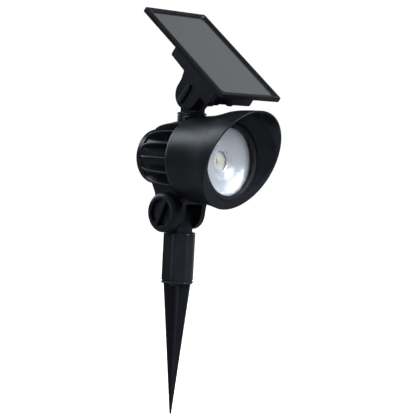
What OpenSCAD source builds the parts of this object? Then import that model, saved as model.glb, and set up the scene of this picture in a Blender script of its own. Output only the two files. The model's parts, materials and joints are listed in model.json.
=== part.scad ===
// Solar spotlight on a ground spike.
// Lamp head on a tilting yoke, solar panel on a swivel and a tilting neck.
// The origin is where the sleeve meets the soil. The lamp faces -Y and every hinge runs along X.

/* [Stake] */
// Length of the spike below the sleeve
spike_len = 117; // [80:1:160]
// Width of the spike across two fins, at its top
spike_w = 24; // [16:0.5:28]
// Thickness of the spike's fins
fin_t = 3; // [2:0.1:5]
// Width of the sleeve across its flats
sleeve_w = 28; // [26:0.5:34]
// Height of the sleeve
sleeve_h = 45; // [38:1:60]
// Radius of the spike's peg inside the sleeve
peg_r = 8.5; // [6:0.1:9.5]
// Length of the peg
peg_len = 28; // [15:1:34]

/* [Lower hinge] */
// Height of the hinge above the top of the sleeve
hinge_rise = 17.5; // [16.5:0.5:26]
// Half width of the sleeve's lug
lug_half = 10; // [7:0.5:11]
// Radius of the lug's round end
lug_r = 6.5; // [5.5:0.1:7.5]
// Thickness of each yoke ear
ear_t = 5.2; // [4:0.1:7]
// Radius of the yoke's round end
yoke_r = 15; // [12:0.2:15.8]
// Radius of the hinge bolt
bolt_r = 3; // [2.5:0.1:3.5]
// Radius of the hinge knob
knob_r = 17.4; // [14:0.1:18]
// Thickness of the hinge knob
knob_t = 9.5; // [7:0.5:12]

/* [Lamp head] */
// Height of the lamp's axis above the lower hinge
head_rise = 47.35; // [45:0.1:60]
// Radius of the rear cap
cap_r = 24.3; // [20:0.1:26]
// Distance from the hinge back to the rear cap's face
cap_back = 36; // [28:0.2:45]
// Number of cooling ribs
rib_count = 16; // [8:2:24]
// Thickness of each rib
rib_t = 2.6; // [1.5:0.1:4]
// Length of each rib
rib_len = 39; // [25:0.5:40]
// Distance from the hinge forward to the shell's rear rim
rim_fwd = 11.5; // [9:0.5:14]
// Radius of the shell at its rear rim
shell_r = 37.2; // [36:0.1:42]
// Extra radius of the hood beyond the shell
hood_flare = 7.5; // [6:0.1:14]
// Distance from the hinge forward to the lens
lens_fwd = 54; // [50:0.5:62]
// Radius of the lens that shows
lens_r = 29; // [24:0.1:30]
// Thickness of the lens
lens_t = 2; // [1.5:0.1:4]
// Distance from the hinge forward to the top of the hood
hood_top_fwd = 88; // [80:0.5:100]
// Lean of the hood's rim
hood_lean = 23; // [10:0.5:28]

/* [Swivel] */
// Distance of the swivel's axis in front of the lower hinge
swivel_fwd = 7.5; // [4:0.1:10]
// Radius of the swivel's flange
flange_r = 13; // [10:0.1:15]
// Radius of the swivel's stem
stem_r = 5; // [4:0.1:6]

/* [Panel hinge] */
// Distance of the panel's hinge in front of the swivel's axis
neck_fwd = 10.5; // [6:0.5:12]
// Height of the panel's hinge above the flange
neck_rise = 17.2; // [16:0.2:24]
// Half width of the swivel's tongue
tongue_half = 5.8; // [4:0.1:7]
// Radius of the tongue's round end
tongue_r = 9; // [7:0.1:9.5]
// Distance from the neck's middle to the knob side's face
neck_half = 20; // [17:0.5:20.5]
// Thickness of the neck's small ear
small_ear_t = 6; // [5:0.5:8]
// Radius of the small ear's round end
small_ear_r = 9.4; // [8:0.1:10]
// Radius of the neck's round end
neck_r = 13.4; // [12.5:0.1:14.5]
// Radius of the neck bolt
neck_bolt_r = 2.5; // [2:0.1:3]
// Radius of the neck knob
neck_knob_r = 11.4; // [9:0.1:11.6]

/* [Solar panel] */
// Rise of the panel's face above its hinge
panel_rise = 36.1; // [35.6:0.1:46]
// Tilt of the panel from level
panel_tilt = 37.5; // [20:0.5:45]
// Length of the panel down its slope
panel_len = 120; // [110:1:150]
// Width of the panel
panel_w = 75.8; // [70:0.2:100]
// Thickness of the panel's frame
frame_t = 4.8; // [4.6:0.1:8]
// Width of the frame's raised border
border_w = 4.5; // [3:0.1:8]
// Depth of the glass below the border
glass_drop = 2; // [1:0.1:2.4]
// Thickness of the panel's glass
glass_t = 1.2; // [1:0.1:1.6]
// Length of the box under the panel
box_len = 71; // [70:0.5:84]
// Width of the box at its low end
box_w = 53; // [52:0.5:66]
// Width of the box at its high end
box_end_w = 41.6; // [40:0.2:50]
// Depth of the box below the frame
box_d = 16.8; // [16.6:0.1:26]
// Wall of the box
box_wall = 1.8; // [1.2:0.1:2]

/* [Clearances] */
// Running clearance around bolts and the stem
run_gap = 0.08; // [0.05:0.01:0.1]
// Gap between parts that move past each other
side_gap = 0.35; // [0.3:0.01:0.6]

/* [Hidden] */
$fn = 64;
eps = 0.01;

// places
hinge_z = sleeve_h + hinge_rise;
head_z = hinge_z + head_rise;
flange_z = head_z + shell_r + 1.35;
swivel_y = -swivel_fwd;
neck_y = swivel_y - neck_fwd;
neck_z = flange_z + neck_rise;

// lamp head
core_r = cap_r - 1.3;
core_wall = 2.5;
cup_r = core_r - core_wall;
flange_back = rim_fwd - 0.9;
flange_front = flange_back + 3.4;
shell_wall = 3;
shell_in_r = shell_r - shell_wall;
seat_t = 2.5;
reflector_lip = 1;
gasket_t = 1;
ring_t = 2.5;
pocket_r = lens_r + 4;
ring_r = lens_r + 4.5;
seat_gap = 0.1;
lens_back = lens_fwd - lens_t;
seat_front = lens_back - gasket_t - reflector_lip;
seat_back = seat_front - seat_t;
hood_r = shell_r + hood_flare;
flare_fwd = lens_fwd + 13;
hood_in_r = hood_r - 1.6;
led_hole_r = 8.55;
reflector_depth = 10.4;
reflector_back = lens_back - reflector_depth;
board_t = 1.6;
emitter_t = 1;
board_front = reflector_back - 0.3;
sink_front = board_front - board_t;
sink_disc_t = 3;
sink_r = cup_r - 0.5;
sink_foot_r = sink_r + 5;
sink_foot_t = 2;
shell_screw_pcr = sink_foot_r + 3.1;
shell_boss_r = 2.6;
shell_boss_len = 12;
shell_web_t = 1.6;
sink_screw_first = 30;
screw_r = 1.3;
screw_head_r = 2.5;
bearing_boss_r = stem_r + 2.5;
washer_r = 6.2;
pedestal_wall = 2;
pedestal_top_t = 2.6;

// lower hinge
ear_in = lug_half + 0.3;
ear_out = ear_in + ear_t;
slot_r = lug_r + 1.5;
nut_af = 10;
nut_t = 5;
nut_pocket = 3.4;
knob_gap = 1.3;
side_wall = 6.6;
grip_w = 4.5;
grip_angle = 24;
recess_r = 11.5;
recess_d = 5;

// panel hinge
neck_in = tongue_half + side_gap;
neck_nut_af = 8;
neck_nut_t = 4;
neck_nut_pocket = 2.8;
neck_pocket_d = 4.2;
neck_disc_t = 3.6;
neck_grip_h = 3.3;
neck_grip_len = 20;
neck_slot_r = tongue_r + 1.2;
small_out = tongue_half + side_gap + small_ear_t;
plinth_drop = 6.5;
frame_z = panel_rise - frame_t;
box_bottom = frame_z - box_d;
plinth_z = box_bottom - plinth_drop;
plinth_front = -25.4;
plinth_back = 13.7;
panel_mid = 14;
box_front = -32.4;
box_back = box_front + box_len;
box_mid = (box_front + box_back) / 2;
floor_t = frame_t - glass_drop - glass_t - 0.4;
cell_t = 0.4;
window_r = 5;
corner_r = 1.6;
box_chamfer = 3;
seal_t = 0.8;
seal_w = 0.9;
seal_inset = 0.45;
post_boss_r = 2.8;
boss_inset = box_wall + post_boss_r - 0.5;

// battery box contents
cell_r = 7.1;
cell_len = 50;
cell_nub_r = 2.6;
tray_t = 1;
holder_w = 2 * cell_r + 3;
holder_x = -box_end_w / 2 + box_wall + holder_w / 2 + 0.3;
holder_len = cell_len + 7;
holder_y = box_front + box_wall + 0.3 + holder_len / 2;
battery_z = box_bottom + box_wall + 0.2 + cell_r;
board_w = 15;
board_len = 34;
board_x = box_end_w / 2 - box_wall - board_w / 2 - 0.6;
board_z = box_bottom + box_wall + 3;
switch_y = box_back - box_wall - 9;
switch_w = 8;
button_r = 2.6;
button_travel = 1.2;
button_out = 2.4;

module at_head() translate([0, 0, head_z]) rotate([90, 0, 0]) children();
module at_hinge() translate([0, 0, hinge_z]) rotate([0, -90, 0]) children();
module swivel_axis() translate([0, swivel_y, 0]) children();
module at_panel() translate([0, neck_y, neck_z]) rotate([panel_tilt, 0, 0]) children();
module at_neck_side() at_panel() rotate([0, -90, 0]) children();

module ring_of(count, radius, first = 0)
    for (i = [0 : count - 1]) rotate([0, 0, first + i * 360 / count]) translate([radius, 0, 0]) children();

// a cylinder along +Z from z0 to z1
module rod(r, z0, z1) translate([0, 0, z0]) cylinder(r = r, h = z1 - z0);

module tube(r_out, r_in, z0, z1)
    difference() {
        rod(r_out, z0, z1);
        rod(r_in, z0 - 1, z1 + 1);
    }

module rounded_rect(w, l, r) {
    square([w - 2 * r, l], center = true);
    square([w, l - 2 * r], center = true);
    for (x = [-1, 1], y = [-1, 1]) translate([x * (w / 2 - r), y * (l / 2 - r)]) circle(r = r);
}

module slab(w, l, r, z0, z1) translate([0, 0, z0]) linear_extrude(z1 - z0) rounded_rect(w, l, r);

module hex(af, z0, z1)
    rotate([0, 0, 30]) translate([0, 0, z0]) cylinder(r = af / sqrt(3), h = z1 - z0, $fn = 6);

// a pan head screw whose shank points along +Z, with a cross recess in its head
module screw(r, head_r, length, head_t = 1.6)
    difference() {
        union() {
            rod(r, 0, length);
            rod(head_r, -head_t, 0);
        }
        for (a = [0, 90]) rotate([0, 0, a]) translate([0, 0, -head_t])
            cube([head_r * 1.2, 0.6, 1.4], center = true);
    }

// ---------- stake ----------
module sleeve_outline(grow = 0) {
    h = sleeve_w / 2 + grow;
    side = 6.2;
    face = 4;
    polygon([[h, -side], [h, side], [face, h], [-face, h], [-h, side], [-h, -side], [-face, -h], [face, -h]]);
}

module ground_spike() color("black") {
    tip = 1.4;
    for (a = [45, 135]) rotate([0, 0, a]) rotate([90, 0, 0])
        linear_extrude(fin_t, center = true)
            polygon([[-spike_w / 2, 0], [-tip, -spike_len + 2], [-tip / 2, -spike_len],
                     [tip / 2, -spike_len], [tip, -spike_len + 2], [spike_w / 2, 0]]);
    rod(peg_r, -2, peg_len);
}

module stake_sleeve() color("black")
    difference() {
        union() {
            linear_extrude(sleeve_h) sleeve_outline();
            linear_extrude(2) sleeve_outline(0.2);
            translate([-lug_half, -lug_r + 0.5, sleeve_h - 1])
                cube([2 * lug_half, 2 * lug_r - 1, hinge_rise + 1]);
            at_hinge() rod(lug_r, -lug_half, lug_half);
        }
        rod(peg_r, -1, peg_len + 1);
        at_hinge() rod(bolt_r + run_gap, -lug_half - 1, lug_half + 1);
    }

// ---------- lamp head ----------
// a rib whose crest follows a quarter ellipse from the cap up to the shell's rim
module rib() {
    steps = 10;
    height = shell_in_r - 0.3 - core_r;
    crest = [for (i = [0 : steps])
        let (a = 90 * i / steps) [core_r + height * sin(a), flange_back - rib_len * cos(a)]];
    rotate([90, 0, 0]) linear_extrude(rib_t, center = true)
        polygon(concat([[core_r - 1, flange_back], [core_r - 1, flange_back - rib_len]], crest));
}

module yoke_outline()
    polygon([[24.5, head_z - core_r + 3], [17.8, hinge_z + 16], [yoke_r, hinge_z], [-yoke_r, hinge_z],
             [-16.4, hinge_z + 8], [-19.5, hinge_z + 11.8], [-19.5, head_z - core_r + 3]]);

module yoke() {
    difference() {
        translate([-ear_out, 0, 0]) rotate([90, 0, 90]) linear_extrude(2 * ear_out) {
            yoke_outline();
            translate([0, hinge_z]) circle(r = yoke_r);
        }
        // slot for the sleeve's lug
        translate([-ear_in, -40, hinge_z - yoke_r - 1]) cube([2 * ear_in, 80, yoke_r + 1 + slot_r]);
        at_hinge() rod(bolt_r + run_gap, -ear_out - 1, ear_out + 1);
        at_hinge() hex(nut_af + 0.2, -ear_out - 1, -ear_out + nut_pocket);
    }
}

module shell_envelope() at_head() rod(shell_r + 0.5, rim_fwd - 0.6, lens_fwd);

module rear_housing() color([0.07, 0.07, 0.08])
    difference() {
        union() {
            at_head() rotate_extrude() polygon([[0, -cap_back], [cap_r - 2.5, -cap_back],
                [cap_r - 0.8, -cap_back + 0.8], [cap_r, -cap_back + 2.5], [cap_r, -cap_back + 7],
                [core_r, -cap_back + 8], [core_r, flange_back], [shell_in_r - 0.1, flange_back],
                [shell_in_r - 0.1, flange_front], [0, flange_front]]);
            at_head() ring_of(rib_count, 0) rib();
            difference() {
                union() {
                    yoke();
                    swivel_axis() rod(flange_r - 0.4, head_z, flange_z - 0.3);
                }
                shell_envelope();
            }
            // the part of the bearing that stands in the shell's notch
            swivel_axis() rod(bearing_boss_r, head_z + sink_foot_r + 0.4, flange_z - 0.3);
        }
        // hollow behind the lamp
        at_head() rod(cup_r, -cap_back + core_wall, flange_front + 1);
        // swivel bearing, with a flat seat for its washer inside
        swivel_axis() rod(stem_r + run_gap, head_z, flange_z + 1);
        swivel_axis() rod(bearing_boss_r + 0.5, head_z, head_z + core_r - 1);
        // the pedestal's hollow, open to the inside
        intersection() {
            swivel_axis()
                tube(flange_r - 0.4 - pedestal_wall, bearing_boss_r, head_z, flange_z - pedestal_top_t);
            at_head() rod(shell_r, -rim_fwd, flange_back - 2);
        }
        at_head() {
            ring_of(3, sink_foot_r - 2.4, sink_screw_first) rod(screw_r, flange_back + 1, flange_front + 1);
            ring_of(4, shell_screw_pcr, 45) rod(screw_r + 0.3, flange_back - 1, flange_front + 1);
            ring_of(4, shell_screw_pcr, 45) rod(screw_head_r + 0.4, flange_back - 12, flange_back + 1.2);
        }
    }

module hood_cut() {
    // everything in front of the leaning rim plane
    translate([0, hood_r, hood_top_fwd]) rotate([hood_lean, 0, 0])
        translate([-100, -200, 0]) cube([200, 300, 100]);
}

// screw bosses inside the shell, each on a web to its wall
module shell_bosses()
    ring_of(4, shell_screw_pcr, 45) {
        rod(shell_boss_r, flange_front + 0.05, flange_front + shell_boss_len);
        translate([0, -shell_web_t / 2, flange_front + 0.05])
            cube([shell_in_r - shell_screw_pcr + 0.8, shell_web_t, shell_boss_len - 0.05]);
    }

module front_shell() color([0.08, 0.08, 0.09])
    difference() {
        at_head() union() {
            shell_skin();
            shell_bosses();
        }
        at_head() ring_of(4, shell_screw_pcr, 45)
            rod(screw_r, flange_front - 1, flange_front + shell_boss_len - 1);
        // notch for the swivel's bearing
        swivel_axis() rod(bearing_boss_r + side_gap, head_z + core_r, flange_z + 1);
    }

module shell_skin()
    difference() {
        rotate_extrude($fn = 128) polygon([[0, rim_fwd], [shell_r - 1.4, rim_fwd],
            [shell_r - 0.4, rim_fwd + 0.4], [shell_r, rim_fwd + 1.4],
            [shell_r + 1.6, lens_fwd - 16], [shell_r + 3.8, lens_fwd - 4],
            [shell_r + 6, lens_fwd + 5], [hood_r - 0.5, flare_fwd - 1], [hood_r - 0.1, flare_fwd + 8],
            [hood_r, hood_top_fwd + 2], [0, hood_top_fwd + 2]]);
        hood_cut();
        rod(shell_in_r, rim_fwd - 1, seat_back);
        rod(lens_r + 1.6, seat_back - 1, seat_front + 1);
        rod(pocket_r + seat_gap, seat_front, lens_fwd);
        rod(ring_r, lens_fwd - eps, lens_fwd + ring_t + eps);
        rotate_extrude($fn = 128) polygon([[0, lens_fwd + ring_t], [ring_r, lens_fwd + ring_t],
            [ring_r + 4.6, lens_fwd + 9], [hood_in_r - 1, flare_fwd + 2], [hood_in_r, flare_fwd + 8],
            [hood_in_r, hood_top_fwd + 5], [0, hood_top_fwd + 5]]);
    }

module shell_screws() color("silver")
    at_head() ring_of(4, shell_screw_pcr, 45)
        translate([0, 0, flange_back + 1.2]) screw(screw_r, screw_head_r, 12);

module heat_sink() color([0.75, 0.76, 0.78])
    at_head() difference() {
        union() {
            rod(sink_r, flange_front, sink_front);
            rod(sink_foot_r, flange_front, flange_front + sink_foot_t);
        }
        rod(sink_r - 2, flange_front - 1, sink_front - sink_disc_t);
        ring_of(3, sink_foot_r - 2.4, sink_screw_first) rod(screw_r + 0.3, flange_front - 1,
            flange_front + sink_foot_t + 1);
        ring_of(2, 9.5) rod(screw_r - 0.3, sink_front - sink_disc_t - 1, sink_front + 1);
        rod(1.8, sink_front - sink_disc_t - 1, sink_front + 1);
    }

module heat_sink_screws() color("silver")
    at_head() ring_of(3, sink_foot_r - 2.4, sink_screw_first) translate([0, 0, flange_front + sink_foot_t])
        mirror([0, 0, 1]) screw(screw_r, screw_head_r - 0.2, 4.2);

module led_board() color("white")
    at_head() difference() {
        rod(12, sink_front, board_front);
        ring_of(2, 9.5) rod(screw_r, sink_front - 1, board_front + 1);
    }

module led_board_screws() color("silver")
    at_head() ring_of(2, 9.5) translate([0, 0, board_front]) mirror([0, 0, 1])
        screw(screw_r - 0.3, 1.9, 4, 1.2);

module led_emitter() color([0.9, 0.95, 0.5])
    at_head() {
        translate([-2.5, -2.5, board_front]) cube([5, 5, emitter_t]);
        rod(1.9, board_front + emitter_t - eps, board_front + emitter_t + 0.4);
    }

module reflector() color([0.85, 0.87, 0.9])
    at_head() {
        lip_z = seat_front + reflector_lip;
        rotate_extrude($fn = 96) polygon([[led_hole_r, reflector_back + 1.4],
            [led_hole_r, reflector_back + 2.6],
            [16, reflector_back + 4.6], [lens_r - 0.4, lip_z], [pocket_r, lip_z], [pocket_r, seat_front],
            [lens_r + 1.4, seat_front], [lens_r + 0.4, seat_front - 0.4], [16 + 0.5, reflector_back + 3.3]]);
    }

module lens_gasket() color("dimgray")
    at_head() tube(pocket_r, lens_r + 1, seat_front + reflector_lip, lens_back);

module lens() color([0.9, 0.95, 1, 0.4])
    at_head() rod(pocket_r, lens_back, lens_fwd);

module lens_ring() color([0.06, 0.06, 0.07])
    at_head() tube(ring_r, lens_r, lens_fwd, lens_fwd + ring_t);

// ---------- lower hinge hardware ----------
module hinge_knob() color([0.09, 0.09, 0.1])
    at_hinge() {
        base = ear_out + knob_gap;
        difference() {
            union() {
                difference() {
                    rotate_extrude() polygon([[0, base], [knob_r - 0.6, base], [knob_r, base + 0.6],
                        [knob_r, base + side_wall],
                        [knob_r - 1, base + side_wall + 1.4], [knob_r - 3, base + knob_t - 0.8],
                            [recess_r + 1, base + knob_t],
                        [0, base + knob_t]]);
                    rod(recess_r, base + knob_t - recess_d, base + knob_t + 1);
                }
                rotate([0, 0, -grip_angle]) translate([-recess_r - 1, -grip_w / 2, base + 2])
                    cube([2 * recess_r + 2, grip_w, knob_t - 1.4]);
            }
            rod(bolt_r, base - 1, base + 4);
        }
    }

module hinge_bolt() color("silver")
    at_hinge() rod(bolt_r, -ear_out - nut_t + nut_pocket - 1, ear_out + knob_gap + 4);

module hinge_nut() color("silver")
    at_hinge() difference() {
        hex(nut_af, -ear_out + nut_pocket - nut_t, -ear_out + nut_pocket);
        rod(bolt_r + run_gap, -ear_out - nut_t, ear_out);
    }

// ---------- swivel ----------
module swivel_post() color([0.08, 0.08, 0.09])
    difference() {
        union() {
            swivel_axis() rod(flange_r, flange_z, flange_z + 1.2);
            swivel_axis() rod(stem_r, head_z + core_r - 1, flange_z + 0.5);
            translate([-tongue_half, 0, 0]) rotate([90, 0, 90]) linear_extrude(2 * tongue_half) {
                polygon([[swivel_y + 8.8, flange_z + 0.5], [swivel_y + 8.8, flange_z + 5.5],
                         [neck_y + tongue_r * 0.8, neck_z + tongue_r * 0.6], [neck_y, neck_z],
                         [neck_y - tongue_r * 0.9, neck_z - tongue_r * 0.44],
                         [swivel_y - 10, flange_z + 5], [swivel_y - 10, flange_z + 0.5]]);
                translate([neck_y, neck_z]) circle(r = tongue_r);
            }
        }
        translate([0, neck_y, neck_z]) rotate([0, -90, 0]) rod(neck_bolt_r + run_gap, -tongue_half - 1,
            tongue_half + 1);
        swivel_axis() rod(1.7, head_z, flange_z - 0.5);
    }

module swivel_washer() color("silver")
    swivel_axis() tube(washer_r, 1.9, head_z + core_r - 2.2, head_z + core_r - 1);

module swivel_screw() color("silver")
    translate([0, swivel_y, head_z + core_r - 2.2]) screw(1.7, 3.2, 9, 2);

// ---------- panel hinge ----------
module plinth_outline()
    translate([plinth_front, plinth_z]) square([plinth_back - plinth_front, plinth_drop + 1]);

// side view of an ear: a round end of radius r under the plinth
module neck_outline(r) {
    circle(r = r);
    polygon([[-r, 0], [-r, plinth_z + 1], [min(r, plinth_back), plinth_z + 1], [r, 0]]);
    plinth_outline();
}

// an outline seen from the side, made solid from x0 to x1
module neck_plate(x0, x1) translate([x0, 0, 0]) rotate([90, 0, 90]) linear_extrude(x1 - x0) children();

// half width of the box at y, as its sides taper
function box_half(y) = box_w / 2 + (box_end_w - box_w) / 2 * (y - box_front) / box_len;

// outline of the box, moved in by inset
module box_outline(inset = 0) {
    c = box_chamfer;
    f = box_front + inset;
    r = box_back - inset;
    half = [[f, c], [f + c, 0], [r - c, 0], [r, c]];
    right = [for (p = half) [box_half(p[0]) - inset - p[1], p[0]]];
    polygon(concat(right, [for (k = [3 : -1 : 0]) [-right[k][0], right[k][1]]]));
}

module box_slab(inset, z0, z1) translate([0, 0, z0]) linear_extrude(z1 - z0) box_outline(inset);

module box_walls()
    difference() {
        box_slab(0, box_bottom, frame_z);
        box_slab(box_wall, box_bottom + box_wall, frame_z + 1);
    }

module box_corners()
    for (x = [-1, 1], y = [box_front + boss_inset, box_back - boss_inset])
        translate([x * (box_half(y) - boss_inset), y, 0]) children();

module back_housing() color([0.08, 0.08, 0.09])
    at_panel() difference() {
        union() {
            box_walls();
            box_corners() rod(post_boss_r, box_bottom + 0.5, frame_z);
            neck_plate(-neck_half, -neck_in) neck_outline(neck_r);
            neck_plate(-neck_in - 1, small_out) plinth_outline();
            neck_plate(neck_in, small_out) neck_outline(small_ear_r);
        }
        // slot for the swivel's tongue
        translate([-neck_in, -60, -40]) cube([2 * neck_in, 120, 40 + neck_slot_r]);
        // bolt, nut and knob
        rotate([0, -90, 0]) {
            rod(neck_bolt_r + run_gap, -small_out - 1, neck_half + 1);
            rod(neck_knob_r + side_gap, neck_half - neck_pocket_d, neck_half + 1);
            hex(neck_nut_af + 0.2, -small_out - 1, -small_out + neck_nut_pocket);
        }
        box_corners() {
            rod(screw_r + 0.3, box_bottom - 1, frame_z + 1);
            rod(screw_head_r + 0.4, box_bottom - 1, box_bottom + 3);
        }
        translate([board_x, switch_y, 0]) rod(button_r + side_gap, box_bottom - 1, box_bottom + box_wall + 1);
        // groove for the seal
        seal_ring(frame_z + 1);
    }

module seal_ring(top)
    difference() {
        box_slab(seal_inset, frame_z - seal_t, top);
        box_slab(seal_inset + seal_w, frame_z - seal_t - 1, top + 1);
    }

module housing_seal() color("dimgray") at_panel() seal_ring(frame_z);

module housing_screws() color("silver")
    at_panel() box_corners() translate([0, 0, box_bottom + 3])
        screw(screw_r, screw_head_r, box_d - 3 + floor_t - 0.4);

module neck_knob() color([0.09, 0.09, 0.1])
    at_neck_side() difference() {
        union() {
            rotate_extrude() polygon([[0, neck_half - neck_disc_t], [neck_knob_r, neck_half - neck_disc_t],
                [neck_knob_r, neck_half - 1], [neck_knob_r - 1, neck_half], [0, neck_half]]);
            translate([-neck_grip_len / 2 + grip_w / 2, -grip_w / 2, neck_half - 1])
                cube([neck_grip_len - grip_w, grip_w, neck_grip_h + 1]);
            for (s = [-1, 1]) translate([s * (neck_grip_len - grip_w) / 2, 0, 0])
                rod(grip_w / 2, neck_half - 1, neck_half + neck_grip_h);
        }
        rod(neck_bolt_r, neck_half - neck_disc_t - 1, neck_half - 0.6);
    }

module neck_bolt() color("silver")
    at_neck_side() rod(neck_bolt_r, -small_out - neck_nut_t + neck_nut_pocket - 1, neck_half - 0.6);

module neck_nut() color("silver")
    at_neck_side() difference() {
        hex(neck_nut_af, -small_out - neck_nut_t + neck_nut_pocket, -small_out + neck_nut_pocket);
        rod(neck_bolt_r + run_gap, -neck_half, neck_half);
    }

// ---------- solar panel ----------
module panel_frame() color([0.07, 0.07, 0.08])
    at_panel() translate([0, panel_mid, 0]) difference() {
        slab(panel_w, panel_len, corner_r, frame_z, frame_z + frame_t);
        slab(panel_w - 2 * border_w, panel_len - 2 * border_w, window_r, frame_z + floor_t,
            frame_z + frame_t + 1);
        translate([0, box_mid - panel_mid, 0]) slab(18, 18, 3, frame_z - 1, frame_z + floor_t + 1);
        translate([0, -panel_mid, 0]) box_corners() rod(screw_r, frame_z - 1, frame_z + floor_t - 0.3);
    }

module solar_cells() color([0.1, 0.1, 0.14])
    at_panel() translate([0, panel_mid, 0])
        slab(panel_w - 2 * border_w - 1, panel_len - 2 * border_w - 1, window_r - 0.5,
            frame_z + floor_t, frame_z + floor_t + cell_t);

module panel_glass() color([0.3, 0.3, 0.35, 0.5])
    at_panel() translate([0, panel_mid, 0])
        slab(panel_w - 2 * border_w, panel_len - 2 * border_w, window_r, frame_z + floor_t + cell_t,
            frame_z + frame_t - glass_drop);

// ---------- battery box contents ----------
module battery_holder() color([0.15, 0.15, 0.16])
    at_panel() translate([holder_x, holder_y, 0]) difference() {
        translate([-holder_w / 2, -holder_len / 2, box_bottom + box_wall])
            cube([holder_w, holder_len, cell_r + 1]);
        translate([0, 0, battery_z]) rotate([90, 0, 0]) cylinder(r = cell_r,
            h = holder_len - 2 * tray_t, center = true);
        translate([-cell_r, -holder_len / 2 + tray_t, battery_z])
            cube([2 * cell_r, holder_len - 2 * tray_t, 20]);
    }

module battery() color([0.2, 0.45, 0.3])
    at_panel() translate([holder_x, holder_y - 0.35, battery_z]) rotate([90, 0, 0]) {
        rod(cell_r - 0.05, -cell_len / 2 + 0.5, cell_len / 2 - 0.5);
        rod(cell_nub_r, 0, cell_len / 2 + 0.5);
    }

module battery_spring() color("silver")
    at_panel() translate([holder_x, holder_y + holder_len / 2 - tray_t, battery_z]) rotate([90, 0, 0]) {
        rod(5, 0, 0.6);
        for (k = [0 : 2]) tube(4.6 - k * 0.6, 3.4 - k * 0.6, 0.55 + k * 0.85, 1.45 + k * 0.85);
    }

module battery_contact() color("silver")
    at_panel() translate([holder_x, holder_y - holder_len / 2 + tray_t, battery_z]) rotate([-90, 0, 0]) {
        rod(5, 0, 0.6);
        rod(2.2, 0.55, 1.6);
    }

module circuit_board() color("green")
    at_panel() translate([board_x - board_w / 2, box_front + box_wall + 9, board_z])
        cube([board_w, board_len, 1.2]);

module circuit_parts() color([0.12, 0.12, 0.12])
    at_panel() translate([board_x, box_front + box_wall + 9, board_z + 1.2]) {
        translate([-3, 5, 0]) cube([5, 4, 1.5]);
        translate([-4, 14, 0]) cube([8, 6, 2.2]);
        translate([-3, 26, 0]) cylinder(r = 2.5, h = 6);
        translate([4, 27, 0]) cube([2.4, 3, 1.4]);
    }

module switch_body() color([0.12, 0.12, 0.13])
    at_panel() translate([board_x, switch_y, 0]) difference() {
        translate([-switch_w / 2, -switch_w / 2, box_bottom + box_wall]) cube([switch_w, switch_w, 7]);
        rod(button_r + side_gap, box_bottom, box_bottom + box_wall + 3.6);
    }

module switch_button() color([0.2, 0.2, 0.2])
    at_panel() translate([board_x, switch_y, 0]) rod(button_r, box_bottom - button_out,
        box_bottom + box_wall + 3.6 - button_travel - side_gap);

ground_spike();
stake_sleeve();
rear_housing();
front_shell();
shell_screws();
heat_sink();
heat_sink_screws();
led_board();
led_emitter();
led_board_screws();
reflector();
lens_gasket();
lens();
lens_ring();
hinge_knob();
hinge_bolt();
hinge_nut();
swivel_post();
swivel_washer();
swivel_screw();
back_housing();
neck_knob();
neck_bolt();
neck_nut();
panel_frame();
solar_cells();
panel_glass();
housing_seal();
housing_screws();
battery_holder();
battery();
battery_spring();
battery_contact();
circuit_board();
circuit_parts();
switch_body();
switch_button();
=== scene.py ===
"""Solar garden spotlight on a ground spike: the detailed pieces, their finishes and the studio.

Laid out as a Blender add-on and run as a script. Lengths in the builders are millimetres.
"""

import json
import math

import bmesh
import bpy
from bpy.props import FloatProperty, FloatVectorProperty, IntProperty, PointerProperty
from mathutils import Matrix, Vector


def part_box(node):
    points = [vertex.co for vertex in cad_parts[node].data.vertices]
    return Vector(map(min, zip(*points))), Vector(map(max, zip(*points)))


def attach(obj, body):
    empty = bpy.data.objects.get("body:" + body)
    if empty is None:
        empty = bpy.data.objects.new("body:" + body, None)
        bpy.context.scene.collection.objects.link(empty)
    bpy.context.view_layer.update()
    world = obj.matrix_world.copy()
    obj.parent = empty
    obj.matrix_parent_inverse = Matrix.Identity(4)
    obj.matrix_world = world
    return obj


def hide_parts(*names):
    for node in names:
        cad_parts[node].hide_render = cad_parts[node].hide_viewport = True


bl_info = {
    "name": "Garden spotlight",
    "version": (1, 0, 0),
    "blender": (4, 5, 0),
    "location": "View3D > Sidebar > Garden light",
    "description": "Builds the visible pieces of a solar garden spotlight around its packed frame",
    "category": "Object",
}

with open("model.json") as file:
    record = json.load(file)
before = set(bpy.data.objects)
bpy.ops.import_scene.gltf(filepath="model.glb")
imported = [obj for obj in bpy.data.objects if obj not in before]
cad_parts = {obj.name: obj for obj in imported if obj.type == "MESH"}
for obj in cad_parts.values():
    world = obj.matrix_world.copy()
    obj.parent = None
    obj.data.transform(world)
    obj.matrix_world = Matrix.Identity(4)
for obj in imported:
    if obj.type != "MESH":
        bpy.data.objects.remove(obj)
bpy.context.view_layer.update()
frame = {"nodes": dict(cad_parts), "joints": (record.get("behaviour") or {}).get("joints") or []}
JOINTS = {j["name"]: j for j in frame["joints"]}


def joint_mm(name):
    """Where a joint sits, in millimetres."""
    return Vector(JOINTS[name]["pos_m"]) * 1000


def box_mm(node):
    low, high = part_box(node)
    return low * 1000, high * 1000


MM = Matrix.Scale(0.001, 4)
UNMOVED = Matrix.Identity(4)
HINGE_Z = joint_mm("head_tilt").z
LENS_LOW, LENS_HIGH = box_mm("lens")
HEAD_Z = (LENS_LOW.z + LENS_HIGH.z) / 2
SWIVEL = joint_mm("panel_swivel")
NECK = joint_mm("panel_tilt")
PRESS = Vector(JOINTS["switch_press"]["axis"])
PANEL_TILT = math.atan2(-PRESS.y, PRESS.z)

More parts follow.
